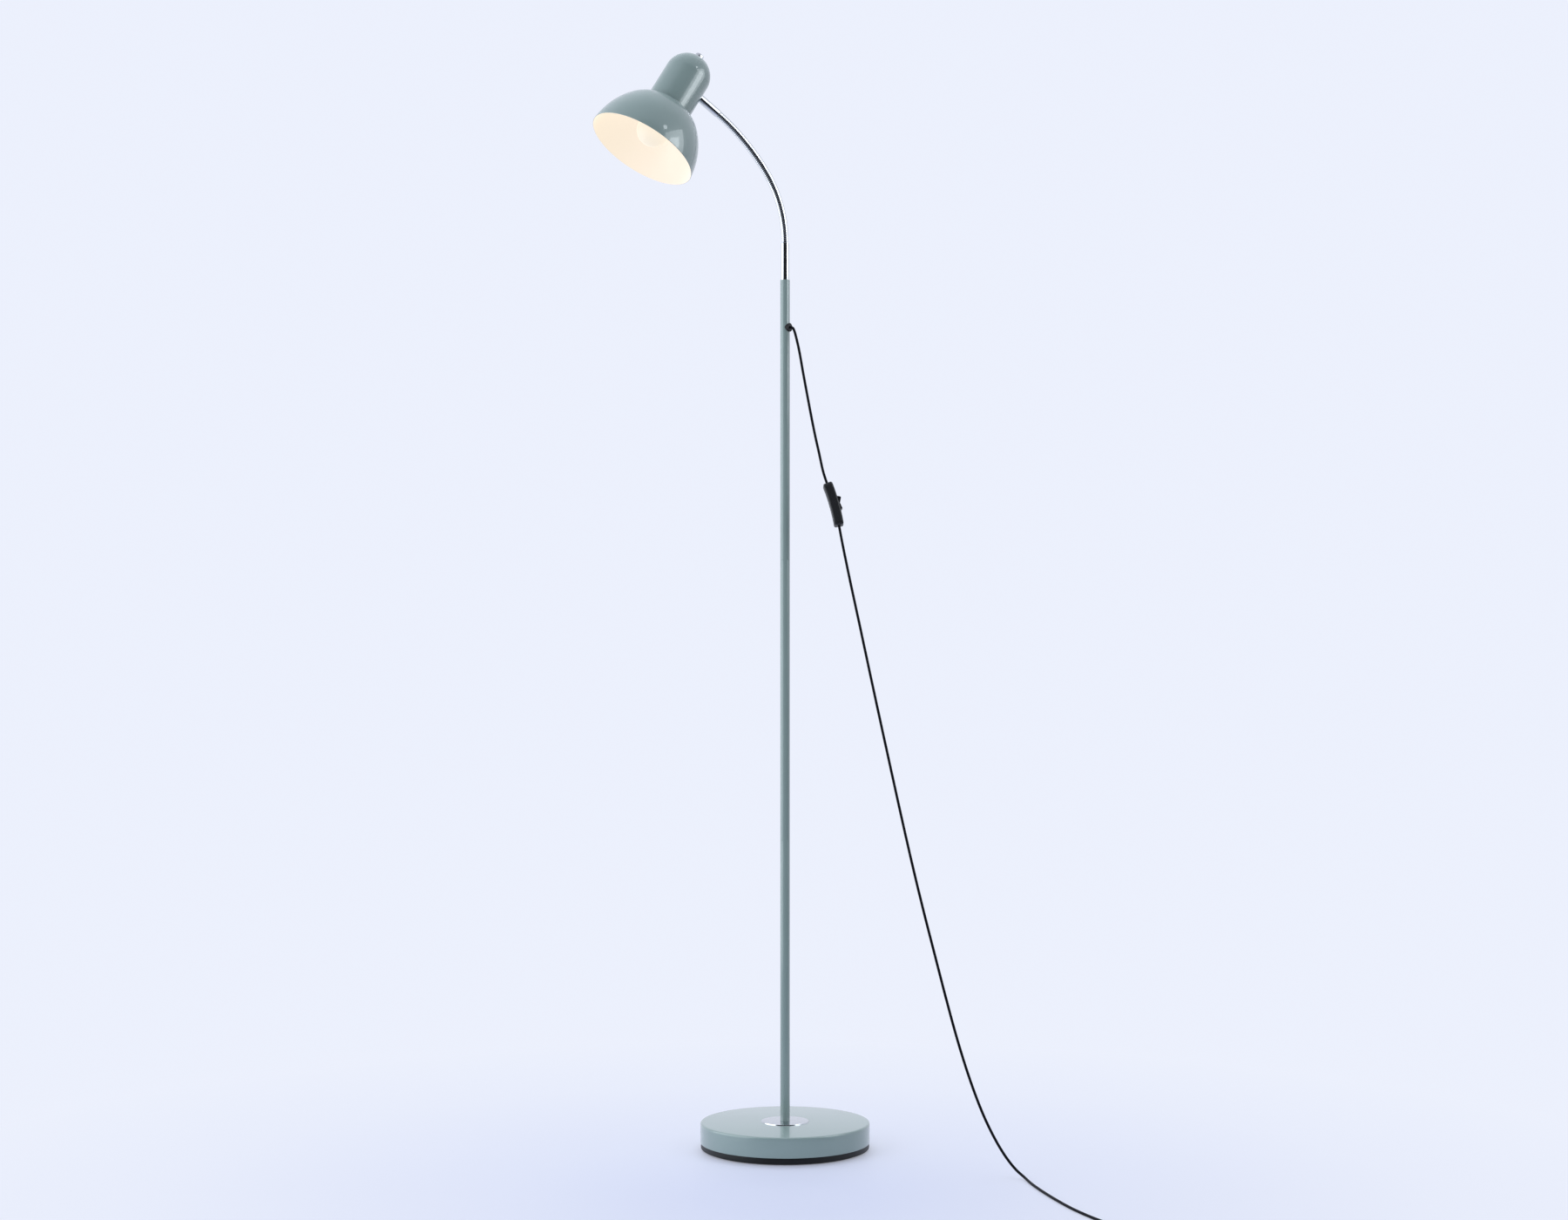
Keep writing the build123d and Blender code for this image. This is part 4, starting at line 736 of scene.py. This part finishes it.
class LAMP_OT_cords(bpy.types.Operator):
    """Makes the cord from the grommet to the switch, and from the switch to the plug"""

    bl_idname = "lamp.cords"
    bl_label = "Cords"

    def execute(self, context):
        diameter = sizes().cord_diameter
        upper = [reach_point(*point) for point in UPPER_ROUTE]
        upper += [switch_end(1, -STRAIGHT_AT_SWITCH), switch_end(1, CORD_IN_SWITCH)]
        short = cord_curve("cord_to_switch", upper)
        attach(short, "root")
        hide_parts("cord_upper")
        parts = ("switch_front", "switch_back", "rocker", "rocker_pin", "switch_contacts")
        parts += ("switch_screws", "switch_cores")

        coil = coil_points()
        heading = Vector((math.cos(COIL_HEADING), math.sin(COIL_HEADING), 0))
        lead_in = COIL_ENTRY + Vector((0, 0, COIL_LOW)) - heading * (diameter + STRAIGHT_AT_COIL)
        lead_out = coil[-1] + (coil[-1] - coil[-2]).normalized() * END_RUN * diameter
        aim = Vector((math.cos(PLUG_AZIMUTH), math.sin(PLUG_AZIMUTH), 0))
        lower = [switch_end(-1, CORD_IN_SWITCH), switch_end(-1, -STRAIGHT_AT_SWITCH)]
        lower += [reach_point(*point) for point in LOWER_ROUTE]
        lower += [Vector(point) for point in FLOOR_ROUTE]
        lower += [lead_in] + coil + [lead_out]
        lower += [Vector(point) for point in TAIL_ROUTE]
        lower += [PLUG_END - aim * END_RUN * diameter, PLUG_END]
        long = cord_curve("cord_to_plug", lower)
        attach(long, "root")
        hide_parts("cord_lower", "cord_coil", "cord_tail")
        paint_nodes(Finishes.get("cord"), "cord_in_pole", "cord_in_head")
        paint_nodes(Finishes.get("grommet"), "grommet", "coil_tie")
        return {"FINISHED"}


class LAMP_OT_base(bpy.types.Operator):
    """Makes the painted cover, its tray and the disc at the pole's foot"""

    bl_idname = "lamp.base"
    bl_label = "Base"

    def execute(self, context):
        still = Matrix.Identity(4)
        cover = lathe(
            "base_cover_painted",
            rounded(
                [
                    (STUD_HOLE, BASE_TOP, 0.0),
                    (BASE_RADIUS, BASE_TOP, 0.0028),
                    (BASE_RADIUS, COVER_EDGE, 0.0004),
                    (COVER_INNER_RADIUS, COVER_EDGE, 0.0002),
                    (COVER_INNER_RADIUS, COVER_INNER_TOP, 0.0018),
                    (STUD_HOLE, COVER_INNER_TOP, 0.0),
                ]
            ),
            still,
            Finishes.get("paint"),
        )
        tray = lathe(
            "base_tray_black",
            rounded(
                [
                    (0.0, TRAY_BOTTOM, 0.0),
                    (TRAY_RADIUS, TRAY_BOTTOM, 0.0022),
                    (TRAY_RADIUS, COVER_EDGE, 0.0004),
                    (TRAY_LIP_RADIUS, COVER_EDGE, 0.0),
                    (TRAY_LIP_RADIUS, TRAY_LIP_TOP, 0.0005),
                    (TRAY_INNER_RADIUS, TRAY_LIP_TOP, 0.0005),
                    (TRAY_INNER_RADIUS, TRAY_FLOOR, 0.0008),
                    (0.0, TRAY_FLOOR, 0.0),
                ]
            ),
            still,
            Finishes.get("tray"),
        )
        disc = lathe(
            "foot_disc_bright",
            rounded(
                [
                    (STUD_HOLE, POLE_BOTTOM, 0.0),
                    (DISC_TOP_RADIUS, POLE_BOTTOM, 0.0004),
                    (DISC_RADIUS, BASE_TOP, 0.0),
                    (STUD_HOLE, BASE_TOP, 0.0),
                ]
            ),
            still,
            Finishes.get("chrome"),
        )
        for piece, node, slot in (
            (cover, "base_cover", "sage_paint"),
            (tray, "base_tray", "black_plastic"),
            (disc, "foot_disc", "chrome"),
        ):
            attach(piece, "root")
            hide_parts(node)
        paint_nodes(Finishes.get("felt"), "base_pad")
        paint_nodes(Finishes.get("casting"), "base_weight")
        paint_nodes(Finishes.get("steel"), "clamp_stud", "clamp_nut", "clamp_washer", "tube_insert")
        return {"FINISHED"}


class LAMP_OT_pole(bpy.types.Operator):
    """Makes the three painted tubes and the bright ferrule above them"""

    bl_idname = "lamp.pole"
    bl_label = "Pole"

    def execute(self, context):
        still = Matrix.Identity(4)
        length = (POLE_TOP - POLE_BOTTOM) / POLE_SECTIONS
        bore = POLE_RADIUS - POLE_WALL
        for index, node in enumerate(("pole_lower", "pole_middle", "pole_upper")):
            low = POLE_BOTTOM + index * length
            outline = rounded(
                [
                    (bore, low, 0.0),
                    (POLE_RADIUS, low, 0.0003),
                    (POLE_RADIUS, low + length, 0.0003),
                    (bore, low + length, 0.0),
                ]
            )
            piece = lathe(f"{node}_painted", outline, still, Finishes.get("pole_paint"))
            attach(piece, "root")
            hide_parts(node)
        ferrule = lathe(
            "lower_ferrule_bright",
            rounded(
                [
                    (FERRULE_BORE, POLE_TOP - SPIGOT_LENGTH, 0.0),
                    (SPIGOT_RADIUS, POLE_TOP - SPIGOT_LENGTH, 0.0),
                    (SPIGOT_RADIUS, POLE_TOP, 0.0),
                    (LOWER_FERRULE_RADIUS, POLE_TOP, 0.0002),
                    (LOWER_FERRULE_RADIUS, NECK_BASE - FERRULE_END_GAP, 0.0006),
                    (FERRULE_BORE, NECK_BASE - FERRULE_BORE_GAP, 0.0),
                ]
            ),
            still,
            Finishes.get("chrome"),
        )
        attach(ferrule, "root")
        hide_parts("lower_ferrule")
        paint_nodes(Finishes.get("steel"), "pole_couplings")
        return {"FINISHED"}


def rib_tree():
    """Geometry nodes that turn a line into a ribbed tube."""
    tree = bpy.data.node_groups.new("ribbed_neck", "GeometryNodeTree")
    face = tree.interface
    face.new_socket("Line", in_out="INPUT", socket_type="NodeSocketGeometry")
    for name in ("Pitch", "Crest radius", "Root radius"):
        face.new_socket(name, in_out="INPUT", socket_type="NodeSocketFloat")
    for name in ("Ribs", "Rings per rib", "Sides"):
        face.new_socket(name, in_out="INPUT", socket_type="NodeSocketInt")
    face.new_socket("Finish", in_out="INPUT", socket_type="NodeSocketMaterial")
    face.new_socket("Tube", in_out="OUTPUT", socket_type="NodeSocketGeometry")
    nodes, link = tree.nodes, tree.links.new

    def add(kind, **settings):
        made = nodes.new(kind)
        for name, value in settings.items():
            setattr(made, name, value)
        return made

    def work(operation, first, second=0.0):
        made = add("ShaderNodeMath", operation=operation)
        for socket, value in zip(made.inputs, (first, second)):
            if isinstance(value, (int, float)):
                socket.default_value = value
            else:
                link(value, socket)
        return made.outputs[0]

    given = add("NodeGroupInput").outputs
    line = add("GeometryNodeMeshToCurve")
    link(given["Line"], line.inputs["Mesh"])
    even = add("GeometryNodeResampleCurve")
    link(line.outputs[0], even.inputs["Curve"])
    link(work("ADD", work("MULTIPLY", given["Ribs"], given["Rings per rib"]), 1.0), even.inputs["Count"])
    along = add("GeometryNodeSplineParameter").outputs["Length"]
    share = work("FRACT", work("DIVIDE", along, given["Pitch"]))
    away = work("ABSOLUTE", work("SUBTRACT", work("MULTIPLY", share, 2.0), 1.0))
    swell = work("SUBTRACT", 1.0, work("POWER", away, RIB_SQUARENESS))
    height = work("SUBTRACT", given["Crest radius"], given["Root radius"])
    radius = work("ADD", given["Root radius"], work("MULTIPLY", height, swell))
    ring = add("GeometryNodeCurvePrimitiveCircle", mode="RADIUS")
    ring.inputs["Radius"].default_value = 1.0
    link(given["Sides"], ring.inputs["Resolution"])
    tube = add("GeometryNodeCurveToMesh")
    link(even.outputs[0], tube.inputs["Curve"])
    link(ring.outputs[0], tube.inputs["Profile Curve"])
    tube.inputs["Fill Caps"].default_value = True
    link(radius, tube.inputs["Scale"])
    smooth = add("GeometryNodeSetShadeSmooth")
    link(tube.outputs[0], smooth.inputs[0])
    real = add("GeometryNodeRealizeInstances")
    link(smooth.outputs[0], real.inputs[0])
    finish = add("GeometryNodeSetMaterial")
    link(real.outputs[0], finish.inputs["Geometry"])
    link(given["Finish"], finish.inputs["Material"])
    link(finish.outputs[0], add("NodeGroupOutput").inputs[0])
    return tree


def baked(name, tree, points, values):
    """Runs the tree on a line of points and returns the result as a plain piece."""
    mesh = bpy.data.meshes.new(name + "_line")
    mesh.from_pydata([tuple(point) for point in points], [(i, i + 1) for i in range(len(points) - 1)], [])
    carrier = bpy.data.objects.new(name + "_line", mesh)
    bpy.context.scene.collection.objects.link(carrier)
    modifier = carrier.modifiers.new("ribs", "NODES")
    modifier.node_group = tree
    for item in tree.interface.items_tree:
        if item.in_out == "INPUT" and item.name in values:
            modifier[item.identifier] = values[item.name]
    bpy.context.view_layer.update()
    result = carrier.evaluated_get(bpy.context.evaluated_depsgraph_get())
    made = bpy.data.meshes.new_from_object(result)
    carrier.modifiers.remove(modifier)
    bpy.data.objects.remove(carrier)
    bpy.data.meshes.remove(mesh)
    piece = bpy.data.objects.new(name, made)
    bpy.context.scene.collection.objects.link(piece)
    return piece


class LAMP_OT_gooseneck(bpy.types.Operator):
    """Makes the ribbed gooseneck and the cord in it, one piece for each hinge"""

    bl_idname = "lamp.gooseneck"
    bl_label = "Gooseneck"

    def execute(self, context):
        tree = rib_tree()
        size = sizes()
        for hinge in range(NECK_SEGMENTS + 1):
            low = max((hinge - 0.5) * SEGMENT_LENGTH, 0.0)
            high = min((hinge + 0.5) * SEGMENT_LENGTH, NECK_LENGTH)
            steps = round((high - low) / RING_SPACING)
            points = [neck_point(low + (high - low) * step / steps)[0] for step in range(steps + 1)]
            values = {
                "Pitch": size.rib_pitch,
                "Crest radius": size.rib_crest,
                "Root radius": size.rib_root,
                "Ribs": round((high - low) / size.rib_pitch),
                "Rings per rib": RINGS_PER_RIB,
                "Sides": RIB_SIDES,
                "Finish": Finishes.get("neck_chrome"),
            }
            neck = baked(f"neck_ribs_{hinge}", tree, points, values)
            inner = dict(values)
            inner["Crest radius"] = inner["Root radius"] = size.cord_diameter / 2
            inner["Rings per rib"] = CORE_RINGS_PER_RIB
            inner["Sides"] = CORE_SIDES
            inner["Finish"] = Finishes.get("cord")
            core = baked(f"neck_cord_{hinge}", tree, points, inner)
            for piece, slot in ((neck, "chrome"), (core, "black_cord")):
                if hinge:
                    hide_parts(f"neck_{hinge}" if piece is neck else "cord_in_neck")
                else:
                    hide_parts("neck_1" if piece is neck else "cord_in_neck")
                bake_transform(piece)
        return {"FINISHED"}


def dome_outline():
    """The shade's wall as a closed outline, outside from the flange to the rim and back inside."""
    outer = [Vector((SHADE_HOLE_RADIUS, DOME_TOP)), Vector((SHADE_FLANGE_RADIUS, DOME_TOP))]
    outer += arc(HIGH_ARC_CENTRE, HIGH_ARC_RADIUS, HIGH_ARC_TOP, HIGH_ARC_BOTTOM, HIGH_ARC_STEPS)
    outer += arc(LOW_ARC_CENTRE, LOW_ARC_RADIUS, LOW_ARC_TOP, LOW_ARC_BOTTOM, LOW_ARC_STEPS)
    lip = arc(RIM_LIP, SHADE_WALL / 2, 0, -180, RIM_LIP_STEPS)
    low_radius, high_radius = LOW_ARC_RADIUS - SHADE_WALL, HIGH_ARC_RADIUS - SHADE_WALL
    inner = arc(LOW_ARC_CENTRE, low_radius, LOW_ARC_BOTTOM, LOW_ARC_TOP, LOW_ARC_STEPS)
    inner += arc(HIGH_ARC_CENTRE, high_radius, HIGH_ARC_BOTTOM, HIGH_ARC_INNER_TOP, HIGH_ARC_STEPS)
    inner += [Vector((SHADE_HOLE_RADIUS, DOME_TOP - SHADE_WALL))]
    return outer + lip + inner


def inside_the_shade(point):
    """Whether a point of the wall's outline is on its enamelled side."""
    if point.y < DOME_SPLIT:
        centre, radius = LOW_ARC_CENTRE, LOW_ARC_RADIUS
    else:
        centre, radius = HIGH_ARC_CENTRE, HIGH_ARC_RADIUS
    away = (point - Vector(centre)).length
    return away < radius - SHADE_WALL / 2 and point.y < DOME_TOP - PAINT_DEPTH


class LAMP_OT_head(bpy.types.Operator):
    """Makes the shade, its cap, the upper ferrule and the nut on top"""

    bl_idname = "lamp.head"
    bl_label = "Shade and cap"

    def execute(self, context):
        place = head_placing()
        # the shade's inside takes the enamel, whose glow is painted light
        paint, enamel = Finishes.get("paint"), Finishes.get("enamel")
        shade = lathe("shade_painted", dome_outline(), place, paint, enamel, inside=inside_the_shade)
        shoulder = CAP_TOP - CAP_RADIUS
        crown = arc((0.0, shoulder), CAP_RADIUS, 0, 90, CAP_STEPS)
        hollow = arc((0.0, shoulder), CAP_RADIUS - CAP_WALL, 90, 0, CAP_STEPS)
        skirt = [Vector((CAP_RADIUS - CAP_WALL, DOME_TOP)), Vector((CAP_RADIUS - CAP_EDGE, DOME_TOP))]
        skirt += [Vector((CAP_RADIUS, DOME_TOP + CAP_EDGE))]
        cap = lathe("cap_painted", skirt + crown + hollow, place, paint)
        seat = shoulder + math.sqrt(CAP_RADIUS**2 - NUT_SEAT_RADIUS**2)
        nut = lathe(
            "finial_bright",
            rounded(
                [
                    (0.0, seat + NUT_HEIGHT, 0.0),
                    (NUT_TOP_RADIUS, seat + NUT_HEIGHT, 0.0026),
                    (NUT_RADIUS, seat, 0.0004),
                    (0.0, seat, 0.0),
                ]
            ),
            place,
            Finishes.get("chrome"),
        )
        quarter = Matrix.Rotation(math.radians(-90), 4, "X")
        side = place @ Matrix.Translation((0, 0, FERRULE_HEIGHT)) @ quarter
        reach = CAP_RADIUS + FERRULE_LENGTH
        ferrule = lathe(
            "upper_ferrule_bright",
            rounded(
                [
                    (FERRULE_BORE, THREAD_START, 0.0),
                    (THREAD_RADIUS, THREAD_START, 0.0),
                    (THREAD_RADIUS, THREAD_END, 0.0),
                    (UPPER_FERRULE_RADIUS, THREAD_END, 0.0),
                    (UPPER_FERRULE_RADIUS, reach - FERRULE_END_GAP, 0.0005),
                    (FERRULE_BORE, reach - FERRULE_BORE_GAP, 0.0),
                ]
            ),
            side,
            Finishes.get("chrome"),
        )
        for piece, node, slot in (
            (shade, "shade", "shade_paint"),
            (cap, "cap_shell", "sage_paint"),
            (nut, "finial_nut", "chrome"),
            (ferrule, "upper_ferrule", "chrome"),
        ):
            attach(piece, "head")
            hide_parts(node)
        paint_nodes(Finishes.get("steel"), "saddle_washer", "lock_nut", "holder_stud")
        return {"FINISHED"}


class LAMP_OT_lampholder(bpy.types.Operator):
    """Finishes the lampholder inside the shade and the cap"""

    bl_idname = "lamp.lampholder"
    bl_label = "Lampholder"

    def execute(self, context):
        paint_nodes(Finishes.get("holder"), "holder_body", "holder_cap", "shade_ring")
        paint_nodes(Finishes.get("ceramic"), "contact_block")
        paint_nodes(Finishes.get("brass"), "screw_shell", "centre_contact", "terminal_screws")
        paint_nodes(Finishes.get("core"), "head_cores")
        return {"FINISHED"}


class LAMP_OT_bulb(bpy.types.Operator):
    """Finishes the lit bulb"""

    bl_idname = "lamp.bulb"
    bl_label = "Bulb"

    def execute(self, context):
        paint_nodes(Finishes.get("opal"), "bulb_glass")
        paint_nodes(Finishes.get("aluminium"), "bulb_shell")
        paint_nodes(Finishes.get("ceramic"), "bulb_tip")
        return {"FINISHED"}


class LAMP_OT_switch(bpy.types.Operator):
    """Finishes the in-line switch"""

    bl_idname = "lamp.inline_switch"
    bl_label = "Switch"

    def execute(self, context):
        paint_nodes(Finishes.get("switch"), "switch_front", "switch_back")
        paint_nodes(Finishes.get("rocker"), "rocker")
        paint_nodes(Finishes.get("steel"), "rocker_pin", "switch_screws")
        paint_nodes(Finishes.get("brass"), "switch_contacts")
        paint_nodes(Finishes.get("core"), "switch_cores")
        return {"FINISHED"}


class LAMP_OT_plug(bpy.types.Operator):
    """Finishes the plug"""

    bl_idname = "lamp.plug"
    bl_label = "Plug"

    def execute(self, context):
        paint_nodes(Finishes.get("plug"), "plug_body")
        paint_nodes(Finishes.get("nickel"), "plug_pins")
        return {"FINISHED"}


def studio_world():
    """Pale to the eye, dimmer to the right as fill light, and dark on the camera's side in reflections."""
    world = bpy.data.worlds.new("studio")
    bpy.context.scene.world = world
    f = Finish("studio", world)
    pale = tuple(colours().backdrop)
    facing = f.along(photo_place(0, 1, 0))
    share = f.steps(facing * 0.5 + 0.5, (0.0, 0.02), (0.17, 0.03), (0.28, 0.75), (0.70, 0.95))
    room = f.blend(share, BLACK, pale)
    mirrored = f.node("ShaderNodeLightPath", out="Is Glossy Ray")
    seen = f.node("ShaderNodeLightPath", out="Is Camera Ray")
    aside = f.along(photo_place(1, 0, 0))
    level = f.steps(aside * 0.5 + 0.5, (0.1, 1.0), (0.9, 0.45))
    fill = f.blend(seen, f.blend(level, BLACK, pale), pale)
    colour = f.blend(mirrored, fill, room)
    f.done(f.node("ShaderNodeBackground", None, {"Color": colour}), "ShaderNodeOutputWorld")


def floor_finish():
    """Pale matt floor that fades into the backdrop's colour away from the lamp."""
    f = Finish("studio_floor")
    pale = tuple(colours().backdrop)
    sockets = {0: f.place, 1: photo_place(*FLOOR_MIDDLE)}
    distance = f.node("ShaderNodeVectorMath", {"operation": "DISTANCE"}, sockets, out="Value")
    mist = f.blend(f.noise(1.2, 2.0), (0.62, 0.65, 0.80), (0.66, 0.69, 0.84))
    near = f.surface(BaseColor=mist, Roughness=0.5, SpecularIORLevel=0.3)
    # dark on the camera's side where metal mirrors it, and on the right where it would light the lamp
    depth = f.along(photo_place(0, 1, 0))
    mirrored = f.node("ShaderNodeLightPath", out="Is Glossy Ray")
    unlit = mirrored * f.steps(depth * -0.5, (0.10, 0.0), (0.22, 1.0))
    aside = f.along(photo_place(1, 0, 0))
    scattered = f.node("ShaderNodeLightPath", out="Is Diffuse Ray")
    flagged = scattered * f.steps(aside * 0.5 + 0.5, (0.50, 0.0), (0.62, 0.8))
    glow = f.blend(unlit + flagged, pale, shade_of(pale, 0.03))
    far = f.node("ShaderNodeEmission", None, {"Color": glow})
    share = f.steps(distance * 0.5, (0.05, 0.10), (0.18, 0.45), (0.40, 0.82), (0.60, 1.0))
    mixed = f.node("ShaderNodeMixShader", None, {0: share, 1: near, 2: far})
    return f.done(mixed)


def softbox(name, place, size, radiance, aim, mirrored, fill):
    """An area light at a place along the photograph's axes, turned to a point."""
    data = bpy.data.lights.new(name, "AREA")
    data.shape = "RECTANGLE"
    data.size, data.size_y = size
    data.energy = radiance * math.pi * size[0] * size[1]
    data.color = SOFTBOX_COLOUR
    light = bpy.data.objects.new(name, data)
    bpy.context.scene.collection.objects.link(light)
    light.location = photo_place(*place)
    light.rotation_euler = (photo_place(*aim) - light.location).to_track_quat("-Z", "Y").to_euler()
    light.visible_glossy = mirrored
    light.visible_diffuse = fill


class LAMP_OT_stage(bpy.types.Operator):
    """Makes the pale floor, the backdrop and the soft lights"""

    bl_idname = "lamp.stage"
    bl_label = "Studio"

    def execute(self, context):
        context.scene.view_settings.view_transform = "Standard"
        studio_world()
        made = bmesh.new()
        bmesh.ops.create_circle(made, cap_ends=True, segments=FLOOR_SIDES, radius=FLOOR_RADIUS)
        mesh = bpy.data.meshes.new("studio_floor")
        made.to_mesh(mesh)
        made.free()
        floor = new_piece("studio_floor", mesh, floor_finish())
        for settings in SOFTBOXES:
            softbox(*settings)
        return {"FINISHED"}


class LAMP_PT_panel(bpy.types.Panel):
    """Lists the lamp's sizes, colours and pieces"""

    bl_idname = "LAMP_PT_panel"
    bl_label = "Gooseneck floor lamp"
    bl_space_type = "VIEW_3D"
    bl_region_type = "UI"
    bl_category = "Lamp"

    def draw(self, context):
        for group in (context.scene.lamp_sizes, context.scene.lamp_colours):
            box = self.layout.box()
            for name in group.__annotations__:
                box.prop(group, name)
        for operator in OPERATORS:
            self.layout.operator(operator.bl_idname)


OPERATORS = (
    LAMP_OT_camera,
    LAMP_OT_cords,
    LAMP_OT_base,
    LAMP_OT_pole,
    LAMP_OT_gooseneck,
    LAMP_OT_head,
    LAMP_OT_lampholder,
    LAMP_OT_bulb,
    LAMP_OT_switch,
    LAMP_OT_plug,
    LAMP_OT_stage,
)
CLASSES = (LampSizes, LampColours, *OPERATORS, LAMP_PT_panel)


def register():
    for item in CLASSES:
        bpy.utils.register_class(item)
    bpy.types.Scene.lamp_sizes = PointerProperty(type=LampSizes)
    bpy.types.Scene.lamp_colours = PointerProperty(type=LampColours)


def unregister():
    del bpy.types.Scene.lamp_colours
    del bpy.types.Scene.lamp_sizes
    for item in reversed(CLASSES):
        bpy.utils.unregister_class(item)


def main():
    register()
    for operator in OPERATORS:
        group, name = operator.bl_idname.split(".")
        getattr(getattr(bpy.ops, group), name)()


if __name__ == "__main__":
    main()
